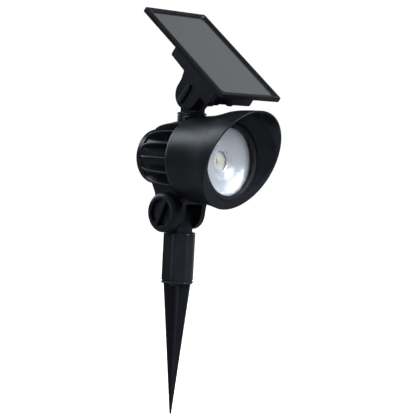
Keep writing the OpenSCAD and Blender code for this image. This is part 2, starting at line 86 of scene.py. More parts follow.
# local frames: the lamp's axis, the hinges seen from the knobs, and the panel
AT_HEAD = Matrix.Translation((0, 0, HEAD_Z)) @ Matrix.Rotation(math.pi / 2, 4, "X")
KNOB_TURN = Matrix.Rotation(-math.pi / 2, 4, "Y")
AT_HINGE = Matrix.Translation((0, 0, HINGE_Z)) @ KNOB_TURN
AT_PANEL = Matrix.Translation(NECK) @ Matrix.Rotation(PANEL_TILT, 4, "X")
AT_NECK = AT_PANEL @ KNOB_TURN
AT_SWIVEL = Matrix.Translation((0, SWIVEL.y, 0))
SIDEWAYS = Matrix(((0, 0, 1, 0), (1, 0, 0, 0), (0, 1, 0, 0), (0, 0, 0, 1)))

# lamp head, along its axis
CORE_R = 23.0
CAP_R = 24.3
CAP_BACK = -36.0
SHELL_R = 37.2
SHELL_IN_R = 34.2
RIM_FWD = 11.5
FLANGE_BACK = 10.6
LENS_FWD = -LENS_LOW.y
LENS_R = 29.0
POCKET_R = LENS_HIGH.x
RING_R = 33.5
RING_T = 2.5
HOOD_R = 44.62
HOOD_IN_R = 43.05
HOOD_TOP = 88.0
HOOD_LEAN = math.radians(23)
SEAT_FRONT = LENS_FWD - 4.0
REFLECTOR_BACK = LENS_FWD - 12.4

# panel, in its own frame
FRAME_Z = 31.3
FRAME_T = 4.8
PANEL_W = 75.8
PANEL_L = 120.0
PANEL_MID = 14.0
BORDER = 4.5
GLASS_DROP = 2.0
FLOOR_T = 1.2
CELL_T = 0.4
BOX_BOTTOM = 14.5
BOX_FRONT = -32.4
BOX_LEN = 71.0
BOX_W = 53.0
BOX_END_W = 41.6
BOX_WALL = 1.8
PLINTH_Z = 8.0
NECK_HALF = 20.0
NECK_IN = 6.15
SMALL_OUT = 12.15

# hinges and their fasteners
RUN_GAP = 0.08
HINGE_BOLT_R = 3.0
NECK_BOLT_R = 2.5
SCREW_R = 1.3
SCREW_HEAD_R = 2.5
TONGUE_HALF = 5.8
TONGUE_R = 9.0
EAR_R = 13.4
SMALL_EAR_R = 9.4
BUTTON_R = 2.6
BUTTON_OUT = 2.4
FLANGE_R = 13.0
YOKE_R = 15.0
YOKE_HALF = 15.5
SLOT_HALF = 10.3
LUG_R = 6.5
PEG_R = 8.5
SPIKE_LEN = 117.0

# ---------------------------------------------------------------- shapes
def fillet(points, steps=5):
    """A closed outline with its corners rounded. A point is (x, y) or (x, y, radius)."""
    out = []
    count = len(points)
    for i, point in enumerate(points):
        here = Vector(point[:2])
        radius = point[2] if len(point) > 2 else 0
        if radius <= 0:
            out.append(tuple(here))
            continue
        before = Vector(points[i - 1][:2]) - here
        after = Vector(points[(i + 1) % count][:2]) - here
        if before.length < 1e-6 or after.length < 1e-6:
            out.extend([tuple(here)] * (steps + 1))
            continue
        corner = before.angle(after)
        reach = min(radius / max(math.tan(corner / 2), 1e-3), before.length * 0.48, after.length * 0.48)
        start = here + before.normalized() * reach
        end = here + after.normalized() * reach
        for k in range(steps + 1):
            t = k / steps
            out.append(tuple(start * (1 - t) ** 2 + here * 2 * t * (1 - t) + end * t**2))
    return out


def arc(cx, cy, radius, first, last, steps):
    """Points on a circle from one angle to another, in degrees."""
    turns = [math.radians(first + (last - first) * k / steps) for k in range(steps + 1)]
    return [(cx + radius * math.cos(a), cy + radius * math.sin(a)) for a in turns]


def new_piece(name, verts, faces):
    mesh = bpy.data.meshes.new(name)
    mesh.from_pydata([tuple(v) for v in verts], [], faces)
    piece = bpy.data.objects.new(name, mesh)
    bpy.context.scene.collection.objects.link(piece)
    return clean(piece)


def clean(piece, merge=1e-4):
    """Merges doubled points, closes the seams and turns every face outwards."""
    work = bmesh.new()
    work.from_mesh(piece.data)
    bmesh.ops.remove_doubles(work, verts=work.verts, dist=merge)
    bmesh.ops.dissolve_degenerate(work, edges=work.edges, dist=merge)
    bmesh.ops.recalc_face_normals(work, faces=work.faces)
    work.to_mesh(piece.data)
    work.free()
    return piece


def lathe(name, profile, segments=128):
    """A closed profile of (radius, height) turned about Z."""
    verts, rings, faces = [], [], []
    for radius, height in profile:
        if radius < 1e-6:
            rings.append([len(verts)] * segments)
            verts.append((0, 0, height))
            continue
        rings.append(list(range(len(verts), len(verts) + segments)))
        for k in range(segments):
            a = math.tau * k / segments
            verts.append((radius * math.cos(a), radius * math.sin(a), height))
    for low, high in zip(rings, rings[1:] + rings[:1]):
        for k in range(segments):
            n = (k + 1) % segments
            face = list(dict.fromkeys((low[k], low[n], high[n], high[k])))
            if len(face) > 2:
                faces.append(face)
    return new_piece(name, verts, faces)


def loft(name, loops):
    """Closed loops of equal length joined in order, with both ends capped."""
    size = len(loops[0])
    verts = [point for loop in loops for point in loop]
    faces = [list(range(size))[::-1], [len(verts) - size + k for k in range(size)]]
    for i in range(len(loops) - 1):
        for k in range(size):
            n = (k + 1) % size
            faces.append((i * size + k, i * size + n, (i + 1) * size + n, (i + 1) * size + k))
    return new_piece(name, verts, faces)


def prism(name, outline, low, high, edge=0.0, steps=3):
    """An outline made solid between two heights, its rims rounded by edge."""
    piece = loft(name, [[(x, y, z) for x, y in outline] for z in (low, high)])
    if edge > 0:
        soften(piece, edge, steps, 60)
    return piece


def turned(piece, matrix):
    """The piece's mesh moved or turned in its local frame."""
    piece.data.transform(matrix)
    return piece


def settle(piece):
    """Makes the modifiers' result the piece's own mesh."""
    graph = bpy.context.evaluated_depsgraph_get()
    mesh = bpy.data.meshes.new_from_object(piece.evaluated_get(graph))
    old = piece.data
    piece.modifiers.clear()
    piece.data = mesh
    mesh.name = piece.name
    bpy.data.meshes.remove(old)
    return piece


def soften(piece, width, segments=3, angle=35):
    """Rounds every edge sharper than an angle in degrees."""
    bevel = piece.modifiers.new("soft edges", "BEVEL")
    bevel.width = width
    bevel.segments = segments
    bevel.limit_method = "ANGLE"
    bevel.angle_limit = math.radians(angle)
    bevel.use_clamp_overlap = True
    bevel.harden_normals = False
    return settle(piece)


def combine(piece, tools, how="DIFFERENCE"):
    """Cuts the tools out of the piece, or adds them to it, and removes them."""
    for tool in tools:
        act = piece.modifiers.new("combine", "BOOLEAN")
        act.operation = how
        act.object = tool
        act.solver = "EXACT"
    settle(piece)
    for tool in tools:
        bpy.data.objects.remove(tool)
    if not piece.data.polygons:
        raise RuntimeError(f"{piece.name} came out empty")
    return clean(piece)


def joined(piece, others):
    """Adds the other pieces' meshes to this one."""
    work = bmesh.new()
    work.from_mesh(piece.data)
    for other in others:
        work.from_mesh(other.data)
    work.to_mesh(piece.data)
    work.free()
    for other in others:
        bpy.data.objects.remove(other)
    return piece


def finished(piece, matrix, body, nodes, material, angle=38):
    """Puts a piece in its place, shades it, and hands it to its body in the frame."""
    piece.data.transform(MM @ matrix)
    piece.data.materials.clear()
    piece.data.materials.append(material)
    piece.data.shade_smooth()
    piece.data.set_sharp_from_angle(angle=math.radians(angle))
    weigh = piece.modifiers.new("even shading", "WEIGHTED_NORMAL")
    weigh.keep_sharp = True
    settle(piece)
    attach(piece, body)
    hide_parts(*nodes)
    return piece


# ---------------------------------------------------------------- repeated parts
def copies_tree(name, in_ring):
    """Copies of one piece, in a ring about Z or on the points of a mesh."""
    tree = bpy.data.node_groups.new(name, "GeometryNodeTree")
    face = tree.interface
    face.new_socket("Geometry", in_out="INPUT", socket_type="NodeSocketGeometry")
    face.new_socket("Piece", in_out="INPUT", socket_type="NodeSocketObject")
    face.new_socket("Material", in_out="INPUT", socket_type="NodeSocketMaterial")
    if in_ring:
        count = face.new_socket("Count", in_out="INPUT", socket_type="NodeSocketInt")
        count.default_value, count.min_value = 4, 1
        face.new_socket("Ring radius", in_out="INPUT", socket_type="NodeSocketFloat")
        face.new_socket("First angle", in_out="INPUT", socket_type="NodeSocketFloat")
    face.new_socket("Geometry", in_out="OUTPUT", socket_type="NodeSocketGeometry")
    nodes, links = tree.nodes, tree.links
    source, sink = nodes.new("NodeGroupInput"), nodes.new("NodeGroupOutput")
    info = nodes.new("GeometryNodeObjectInfo")
    links.new(source.outputs["Piece"], info.inputs["Object"])
    spread = nodes.new("GeometryNodeInstanceOnPoints")
    links.new(info.outputs["Geometry"], spread.inputs["Instance"])
    if in_ring:
        points = nodes.new("GeometryNodePoints")
        links.new(source.outputs["Count"], points.inputs["Count"])
        index = nodes.new("GeometryNodeInputIndex")
        step = nodes.new("ShaderNodeMath")
        step.operation = "DIVIDE"
        step.inputs[0].default_value = math.tau
        links.new(source.outputs["Count"], step.inputs[1])
        angle = nodes.new("ShaderNodeMath")
        angle.operation = "MULTIPLY_ADD"
        links.new(index.outputs["Index"], angle.inputs[0])
        links.new(step.outputs[0], angle.inputs[1])
        links.new(source.outputs["First angle"], angle.inputs[2])
        turn = nodes.new("ShaderNodeCombineXYZ")
        links.new(angle.outputs[0], turn.inputs["Z"])
        out = nodes.new("ShaderNodeCombineXYZ")
        links.new(source.outputs["Ring radius"], out.inputs["X"])
        place = nodes.new("ShaderNodeVectorRotate")
        place.rotation_type = "Z_AXIS"
        links.new(out.outputs[0], place.inputs["Vector"])
        links.new(angle.outputs[0], place.inputs["Angle"])
        links.new(place.outputs[0], points.inputs["Position"])
        links.new(points.outputs[0], spread.inputs["Points"])
        links.new(turn.outputs[0], spread.inputs["Rotation"])
    else:
        to_points = nodes.new("GeometryNodeMeshToPoints")
        links.new(source.outputs["Geometry"], to_points.inputs["Mesh"])
        links.new(to_points.outputs[0], spread.inputs["Points"])
    real = nodes.new("GeometryNodeRealizeInstances")
    links.new(spread.outputs[0], real.inputs[0])
    finish = nodes.new("GeometryNodeSetMaterial")
    links.new(real.outputs[0], finish.inputs["Geometry"])
    links.new(source.outputs["Material"], finish.inputs["Material"])
    links.new(finish.outputs[0], sink.inputs[0])
    return tree


def copied(name, tree, carrier, material, **values):
    """Runs a copies tree on a carrier mesh and returns the plain result."""
    modifier = carrier.modifiers.new("copies", "NODES")
    modifier.node_group = tree
    named = {
        s.name: s.identifier
        for s in tree.interface.items_tree
        if s.item_type == "SOCKET" and s.in_out == "INPUT"
    }
    modifier[named["Material"]] = material
    for label, value in values.items():
        modifier[named[label.replace("_", " ")]] = value
    settle(carrier)
    carrier.name = name
    piece = values["Piece"]
    bpy.data.objects.remove(piece)
    if not carrier.data.polygons:
        raise RuntimeError(f"{name} has no copies")
    return carrier


def carrier_of(name, points):
    mesh = bpy.data.meshes.new(name)
    mesh.from_pydata([tuple(p) for p in points], [], [])
    carrier = bpy.data.objects.new(name, mesh)
    bpy.context.scene.collection.objects.link(carrier)
    return carrier


def pan_screw(name, shank_r, head_r, length, head_t):
    """A pan head screw along +Z with a cross recess and thread ridges."""
    thread = []
    turns = max(4, int(length / 0.9))
    for k in range(turns):
        z = 0.2 + (length - 0.8) * k / turns
        thread += [(shank_r * 0.86, z), (shank_r, z + 0.25), (shank_r * 0.86, z + 0.5)]
    profile = [(0, -head_t), (head_r * 0.55, -head_t * 0.98), (head_r * 0.86, -head_t * 0.72)]
    profile += [(head_r, -head_t * 0.3), (head_r, 0), (shank_r * 0.86, 0)] + thread
    profile += [(shank_r * 0.5, length - 0.1), (0, length)]
    screw = lathe(name, profile, 24)
    bars = []
    for turn in (0, math.pi / 2):
        long, thin = head_r * 0.55, 0.32
        outline = [(-long, -thin), (long, -thin), (long, thin), (-long, thin)]
        bars.append(turned(prism("bar", outline, -head_t - 1, -head_t * 0.4), Matrix.Rotation(turn, 4, "Z")))
    return combine(screw, bars)


def hex_nut(name, across, bore, height):
    """A chamfered hexagon nut along +Z."""
    corner = across / math.sqrt(3)
    outline = [(corner * math.cos(a), corner * math.sin(a)) for a in (math.tau * k / 6 for k in range(6))]
    nut = prism(name, outline, 0, height)
    keep = lathe("keep", [(0, -0.01), (corner * 0.9, -0.01), (corner * 1.01, height * 0.16),
                          (corner * 1.01, height * 0.84), (corner * 0.9, height + 0.01),
                          (0, height + 0.01)], 48)
    combine(nut, [keep], "INTERSECT")
    return combine(nut, [lathe("bore", [(0, -1), (bore, -1), (bore, height + 1), (0, height + 1)], 32)])


# ---------------------------------------------------------------- finishes
def socket(tree, label, kind, value=None, out=False):
    made = tree.interface.new_socket(label, in_out="OUTPUT" if out else "INPUT", socket_type=kind)
    if value is not None:
        made.default_value = value
    return made


def new_group(name, inputs, outputs):
    """An empty shader group with float sockets: its tree, nodes, links, input and output nodes."""
    tree = bpy.data.node_groups.new(name, "ShaderNodeTree")
    for label, value in inputs.items():
        socket(tree, label, "NodeSocketFloat", value)
    for label in outputs:
        socket(tree, label, "NodeSocketFloat", out=True)
    nodes = tree.nodes
    return tree, nodes, tree.links, nodes.new("NodeGroupInput"), nodes.new("NodeGroupOutput")


def object_noise(nodes, links, scale, detail, rough=0.5):
    """Noise on object coordinates; the scale is a number or a socket."""
    where = nodes.new("ShaderNodeTexCoord")
    noise = nodes.new("ShaderNodeTexNoise")
    noise.inputs["Detail"].default_value = detail
    noise.inputs["Roughness"].default_value = rough
    links.new(where.outputs["Object"], noise.inputs["Vector"])
    if isinstance(scale, (int, float)):
        noise.inputs["Scale"].default_value = scale
    else:
        links.new(scale, noise.inputs["Scale"])
    return noise.outputs["Fac"]


def product(nodes, links, *factors):
    """All the sockets multiplied together."""
    total = factors[0]
    for factor in factors[1:]:
        times = nodes.new("ShaderNodeMath")
        times.operation = "MULTIPLY"
        links.new(total, times.inputs[0])
        links.new(factor, times.inputs[1])
        total = times.outputs[0]
    return total


def grain_group():
    """Moulding grain: a height for bump and a slow change of tone, on object coordinates."""
    tree, nodes, links, source, sink = new_group(
        "moulding_grain", {"Grain per metre": 4000, "Cloud per metre": 60}, ["Height", "Tone"])
    links.new(object_noise(nodes, links, source.outputs["Grain per metre"], 3), sink.inputs["Height"])
    links.new(object_noise(nodes, links, source.outputs["Cloud per metre"], 4, 0.6), sink.inputs["Tone"])
    return tree


def wear_group():
    """Where an edge has been rubbed: corners, broken up by noise."""
    tree, nodes, links, source, sink = new_group("edge_wear", {"Radius": 0.0008, "Amount": 0.5}, ["Mask"])
    round_edge = nodes.new("ShaderNodeBevel")
    round_edge.samples = 4
    links.new(source.outputs["Radius"], round_edge.inputs["Radius"])
    true = nodes.new("ShaderNodeNewGeometry")
    dot = nodes.new("ShaderNodeVectorMath")
    dot.operation = "DOT_PRODUCT"
    links.new(round_edge.outputs["Normal"], dot.inputs[0])
    links.new(true.outputs["Normal"], dot.inputs[1])
    edge = ranged(nodes, links, dot.outputs["Value"], 0, 1, 0.98, 0.8)
    patchy = ranged(nodes, links, object_noise(nodes, links, 350, 4), 0, 1, 0.35, 0.7)
    links.new(product(nodes, links, edge, patchy, source.outputs["Amount"]), sink.inputs["Mask"])
    return tree


def dust_group():
    """A thin veil of dust on what faces up."""
    tree, nodes, links, source, sink = new_group("dust", {"Amount": 0.1}, ["Mask"])
    true = nodes.new("ShaderNodeNewGeometry")
    split = nodes.new("ShaderNodeSeparateXYZ")
    links.new(true.outputs["Normal"], split.inputs[0])
    up = ranged(nodes, links, split.outputs["Z"], 0, 1, 0.2, 1.0)
    specks = ranged(nodes, links, object_noise(nodes, links, 900, 5), 0, 1, 0.4, 0.75)
    links.new(product(nodes, links, up, specks, source.outputs["Amount"]), sink.inputs["Mask"])
    return tree


def group(name):
    makers = {"moulding_grain": grain_group, "edge_wear": wear_group, "dust": dust_group}
    return bpy.data.node_groups.get(name) or makers[name]()


def surface(name, **fixed):
    """A new material, its Principled shader, and its node and link lists."""
    material = bpy.data.materials.new(name)
    material.use_nodes = True
    nodes, links = material.node_tree.nodes, material.node_tree.links
    shader = nodes["Principled BSDF"]
    for label, value in fixed.items():
        shader.inputs[label.replace("_", " ")].default_value = value
    return material, shader, nodes, links


def placed_group(nodes, name, **values):
    node = nodes.new("ShaderNodeGroup")
    node.node_tree = group(name)
    for label, value in values.items():
        node.inputs[label.replace("_", " ")].default_value = value
    return node


def blend_colours(nodes, links, mask, low, high):
    mix = nodes.new("ShaderNodeMix")
    mix.data_type = "RGBA"
    links.new(mask, mix.inputs["Factor"])
    for index, colour in ((6, low), (7, high)):
        if isinstance(colour, (tuple, list)):
            mix.inputs[index].default_value = (*colour[:3], 1)
        else:
            links.new(colour, mix.inputs[index])
    return mix.outputs[2]


def ranged(nodes, links, value, low, high, start=0.3, end=0.7):
    rescale = nodes.new("ShaderNodeMapRange")
    links.new(value, rescale.inputs["Value"])
    rescale.inputs["From Min"].default_value = start
    rescale.inputs["From Max"].default_value = end
    rescale.inputs["To Min"].default_value = low
    rescale.inputs["To Max"].default_value = high
    return rescale.outputs[0]


def bumped(nodes, links, height, strength, distance, shader):
    bump = nodes.new("ShaderNodeBump")
    bump.inputs["Strength"].default_value = strength
    bump.inputs["Distance"].default_value = distance
    links.new(height, bump.inputs["Height"])
    links.new(bump.outputs[0], shader.inputs["Normal"])


def moulded(name, colour, rough, grain=4200, depth=0.12, wear=0.35, dust=0.1, rub=None):
    """Moulded plastic: grain, clouded roughness, rubbed edges and a little dust."""
    material, shader, nodes, links = surface(name, IOR=1.5, Specular_Tint=(0.8, 0.87, 1.0, 1))
    grained = placed_group(nodes, "moulding_grain", Grain_per_metre=grain)
    worn = placed_group(nodes, "edge_wear", Amount=wear)
    dusty = placed_group(nodes, "dust", Amount=dust)
    darker = [c * 0.82 for c in colour[:3]]
    lighter = [min(1, c * 1.18) for c in colour[:3]]
    tone = blend_colours(nodes, links, ranged(nodes, links, grained.outputs["Tone"], 0, 1), darker, lighter)
    rubbed = rub or [min(1, c * 2.4 + 0.012) for c in colour[:3]]
    tone = blend_colours(nodes, links, worn.outputs["Mask"], tone, rubbed)
    tone = blend_colours(nodes, links, dusty.outputs["Mask"], tone, (0.22, 0.21, 0.2))
    links.new(tone, shader.inputs["Base Color"])
    clouded = ranged(nodes, links, grained.outputs["Tone"], rough - 0.05, rough + 0.05)
    links.new(clouded, shader.inputs["Roughness"])
    bumped(nodes, links, grained.outputs["Height"], depth, 0.0001, shader)
    return material


def metal(name, colour, rough, scratch=1500):
    """Plated or pressed metal with fine streaks and clouded tarnish."""
    material, shader, nodes, links = surface(name, Metallic=1.0)
    grained = placed_group(nodes, "moulding_grain", Grain_per_metre=scratch, Cloud_per_metre=220)
    dull = [c * 0.72 for c in colour[:3]]
    tone = blend_colours(nodes, links, ranged(nodes, links, grained.outputs["Tone"], 0, 1), dull, colour)
    links.new(tone, shader.inputs["Base Color"])
    links.new(ranged(nodes, links, grained.outputs["Height"], rough - 0.06, rough + 0.1),
        shader.inputs["Roughness"])
    bumped(nodes, links, grained.outputs["Height"], 0.08, 0.00005, shader)
    return material


def mirror_plastic():
    """Vacuum metallised reflector: bright, with faint flow marks."""
    material, shader, nodes, links = surface("mirror_plastic", Metallic=0.45)
    grained = placed_group(nodes, "moulding_grain", Grain_per_metre=900, Cloud_per_metre=45)
    look = bpy.context.scene.spot_finish
    bright = list(look.mirror)
    dull = [c * 0.93 for c in bright]
    tone = blend_colours(nodes, links, ranged(nodes, links, grained.outputs["Tone"], 0, 1), dull, bright)
    links.new(tone, shader.inputs["Base Color"])
    links.new(ranged(nodes, links, grained.outputs["Tone"], 0.2, 0.3), shader.inputs["Roughness"])
    bumped(nodes, links, grained.outputs["Height"], 0.03, 0.0001, shader)
    return material


def clear_plastic():
    """The lens: clear, with faint surface haze."""
    material, shader, nodes, links = surface("clear_plastic", IOR=1.46)
    shader.inputs["Transmission Weight"].default_value = 1.0
    shader.inputs["Alpha"].default_value = 0.22
    grained = placed_group(nodes, "moulding_grain", Grain_per_metre=700, Cloud_per_metre=40)
    links.new(ranged(nodes, links, grained.outputs["Tone"], 0.0, 0.05), shader.inputs["Roughness"])
    tone = blend_colours(nodes, links, grained.outputs["Tone"], (0.97, 0.985, 1.0), (1, 1, 1))
    links.new(tone, shader.inputs["Base Color"])
    bumped(nodes, links, grained.outputs["Height"], 0.01, 0.0001, shader)
    return material


def panel_pane():
    """The panel's pane: dark laminate under glass, its base colour lightened as a painted reflection of the
    bright surround, with faint haze and specks of dust.
    """
    look = bpy.context.scene.spot_finish
    material, shader, nodes, links = surface("panel_pane", IOR=1.52)
    grained = placed_group(nodes, "moulding_grain", Grain_per_metre=1500, Cloud_per_metre=25)
    dusty = placed_group(nodes, "dust", Amount=0.12)
    # painted reflection: this base colour is set light so that diffuse light gives the gray that the glass's
    # reflection of the surround would give
    deep = list(look.pane)
    tone = blend_colours(nodes, links, ranged(nodes, links, grained.outputs["Tone"], 0, 1),
                         [c * 0.9 for c in deep], [c * 1.1 for c in deep])
    tone = blend_colours(nodes, links, dusty.outputs["Mask"], tone, (0.3, 0.3, 0.3))
    links.new(tone, shader.inputs["Base Color"])
    links.new(ranged(nodes, links, grained.outputs["Tone"], 0.16, 0.26), shader.inputs["Roughness"])
    shader.inputs["Coat Weight"].default_value = 1.0
    shader.inputs["Coat Roughness"].default_value = 0.05
    shader.inputs["Coat IOR"].default_value = 1.52
    bumped(nodes, links, grained.outputs["Height"], 0.02, 0.0001, shader)
    return material


def silicon():
    """Cut silicon with fine contact fingers and mottled crystals."""
    material, shader, nodes, links = surface("silicon", IOR=1.9)
    where = nodes.new("ShaderNodeTexCoord")
    crystals = nodes.new("ShaderNodeTexVoronoi")
    crystals.inputs["Scale"].default_value = 260
    links.new(where.outputs["Object"], crystals.inputs["Vector"])
    tone = blend_colours(nodes, links, crystals.outputs["Distance"], (0.012, 0.014, 0.03),
        (0.03, 0.035, 0.07))
    fingers = nodes.new("ShaderNodeTexWave")
    fingers.bands_direction = "X"
    fingers.inputs["Scale"].default_value = 130
    links.new(where.outputs["Object"], fingers.inputs["Vector"])
    tone = blend_colours(nodes, links, ranged(nodes, links, fingers.outputs["Fac"], 0, 0.5, 0.93, 1.0), tone,
                         (0.35, 0.36, 0.38))
    links.new(tone, shader.inputs["Base Color"])
    links.new(ranged(nodes, links, crystals.outputs["Distance"], 0.25, 0.4), shader.inputs["Roughness"])
    return material


FINISHES = {}


def finish_of(name):
    """A finish by name, made once."""
    look = bpy.context.scene.spot_finish
    makers = {
        "shell": lambda: moulded("shell_plastic", look.shell, 0.36, wear=look.wear, dust=look.dust),
        "knob": lambda: moulded("knob_plastic", look.knob, 0.40, grain=5200, wear=look.wear * 1.3,
            dust=look.dust),
        "spike": lambda: moulded("spike_plastic", look.spike, 0.42, grain=3600, depth=0.2, wear=look.wear,
                                 dust=look.dust * 0.5),
        "tray": lambda: moulded("tray_plastic", look.tray, 0.38, wear=look.wear * 1.2, dust=look.dust),
        "ring": lambda: moulded("ring_plastic", look.ring, 0.45, grain=5200, wear=0.1, dust=0.02),
        "holder": lambda: moulded("holder_plastic", (0.04, 0.04, 0.045), 0.6, wear=0.1, dust=0.0),
        "rubber": lambda: moulded("seal_rubber", (0.03, 0.03, 0.032), 0.8, grain=6000, depth=0.3, wear=0.05),
        "part_black": lambda: moulded("epoxy_black", (0.02, 0.02, 0.021), 0.5, wear=0.05, dust=0.0),
        "white_board": lambda: moulded("white_resist", (0.78, 0.78, 0.75), 0.35, wear=0.0, dust=0.0),
        "green_board": lambda: moulded("green_resist", (0.02, 0.17, 0.06), 0.3, wear=0.1, dust=0.0),
        "wrap": lambda: moulded("shrink_wrap", (0.06, 0.2, 0.1), 0.25, depth=0.03, wear=0.0, dust=0.0),
        "phosphor": lambda: moulded("phosphor", (0.78, 0.78, 0.4), 0.45, grain=9000, wear=0.0, dust=0.0),
        "steel": lambda: metal("zinc_steel", (0.62, 0.62, 0.63), 0.32),
        "aluminium": lambda: metal("pressed_aluminium", (0.78, 0.79, 0.8), 0.38),
        "mirror": mirror_plastic,
        "clear": clear_plastic,
        "pane": panel_pane,
        "silicon": silicon,
    }
    if name not in FINISHES:
        FINISHES[name] = makers[name]()
    return FINISHES[name]


# ---------------------------------------------------------------- stake
def build_spike():
    """Four tapering fins with rounded edges, and the peg that fills the sleeve."""
    size = bpy.context.scene.spot_sizes
    length = SPIKE_LEN

    def section(z, reach, thick):
        reach = max(reach, thick)
        loop = []
        for k in range(4):
            turn = math.radians(45 + 90 * k)
            tip = [(reach - thick + thick * math.cos(a), thick * math.sin(a))
                   for a in (math.radians(-90 + 30 * j) for j in range(7))]
            root = min(1.2, (reach - thick) * 0.4)
            inner = [(thick + root, thick), (thick + root * 0.4, thick + root * 0.4 * 0.4)]
            points = tip + inner + [(thick + root * 0.16, thick + root * 0.16)]
            for x, y in points:
                loop.append((x * math.cos(turn) - y * math.sin(turn),
                    x * math.sin(turn) + y * math.cos(turn), z))
            x, y = thick + root * 0.4 * 0.4, thick + root * 0.4
            loop.append((x * math.cos(turn) - y * math.sin(turn), x * math.sin(turn) + y * math.cos(turn), z))
        return loop

    loops = []
    for k in range(25):
        t = k / 24
        z = -(length - 1.2) * t
        loops.append(section(z, 12.0 - 11.1 * t, size.fin_edge * (1 - 0.5 * t)))
    loops.append(section(-length + 0.5, 0.7, 0.55))
    loops.append(section(-length, 0.3, 0.3))
    fins = loft("ground_spike_fins", loops)
    peg = lathe("peg", fillet([(0, -2), (PEG_R, -2), (PEG_R, 27, 0), (PEG_R - 1, 28, 0), (0, 28)]), 48)
    combine(fins, [peg], "UNION")
    finished(fins, UNMOVED, "stake", ["ground_spike"], finish_of("spike"))


def build_sleeve():
    """The eight-sided sleeve with a beaded foot, and the hinge lug on its top."""
    half, side, face = 14.0, 6.2, 4.0

    def section(z, grow):
        h = half + grow
        corners = [(h, -side), (h, side), (face, h), (-face, h), (-h, side), (-h, -side), (-face, -h),
            (face, -h)]
        return [(x, y, z) for x, y in fillet([(x, y, 4.5) for x, y in corners], 6)]

    rings = [(0, -0.7), (0.15, -0.15), (0.5, 0.15), (1.2, 0.15), (1.6, -0.1), (1.9, -0.7), (2.5, -0.75),
             (2.9, -0.25), (3.4, 0), (8, 0), (15, 0), (25, 0), (36, 0), (43, 0), (43.9, -0.12), (44.6, -0.5),
             (45, -1.1)]
    sleeve = loft("stake_sleeve_body", [section(z, grow) for z, grow in rings])
    lug = prism("lug", fillet([(-6, 40), (6, 40), (6, HINGE_Z, 0)] + arc(0, HINGE_Z, LUG_R, 0, 180, 24)
                              + [(-6, HINGE_Z, 0)]), -10, 10, 0.5)
    turned(lug, SIDEWAYS)
    combine(sleeve, [lug], "UNION")
    bore = turned(lathe("bore", [(0, -12), (HINGE_BOLT_R + RUN_GAP, -12), (HINGE_BOLT_R + RUN_GAP, 12),
        (0, 12)], 48), AT_HINGE)
    socket_hole = lathe("hole", [(0, -1), (8.55, -1), (8.55, 29), (0, 29)], 64)
    combine(sleeve, [bore, socket_hole])
    finished(sleeve, UNMOVED, "stake", ["stake_sleeve"], finish_of("shell"))


# ---------------------------------------------------------------- lamp head
def rib_mesh():
    """One cooling rib along the lamp's axis, its crest a rounded quarter ellipse."""
    size = bpy.context.scene.spot_sizes
    steps = 26
    root, crest = size.rib_root / 2, size.rib_crest / 2
    height = SHELL_IN_R - 0.3 - CORE_R
    length = 39.0
    loops = []
    for k in range(steps + 1):
        a = math.pi / 2 * k / steps
        z = FLANGE_BACK - length * math.cos(a)
        top = CORE_R + height * math.sin(a)
        low = CORE_R - 1.2
        share = (top - low) / (height + 1.2)
        wide = crest + (root - crest) * share
        soft = min(crest, (top - low) * 0.45)
        loop = [(low, -wide), (top - soft, -crest)]
        loop += [(top - soft + soft * math.sin(b), -crest * math.cos(b)) for b in
                 (math.pi * j / 8 for j in range(1, 8))]
        loop += [(top - soft, crest), (low, wide)]
        loops.append([(x, y, z) for x, y in loop])
    return loft("rib", loops)


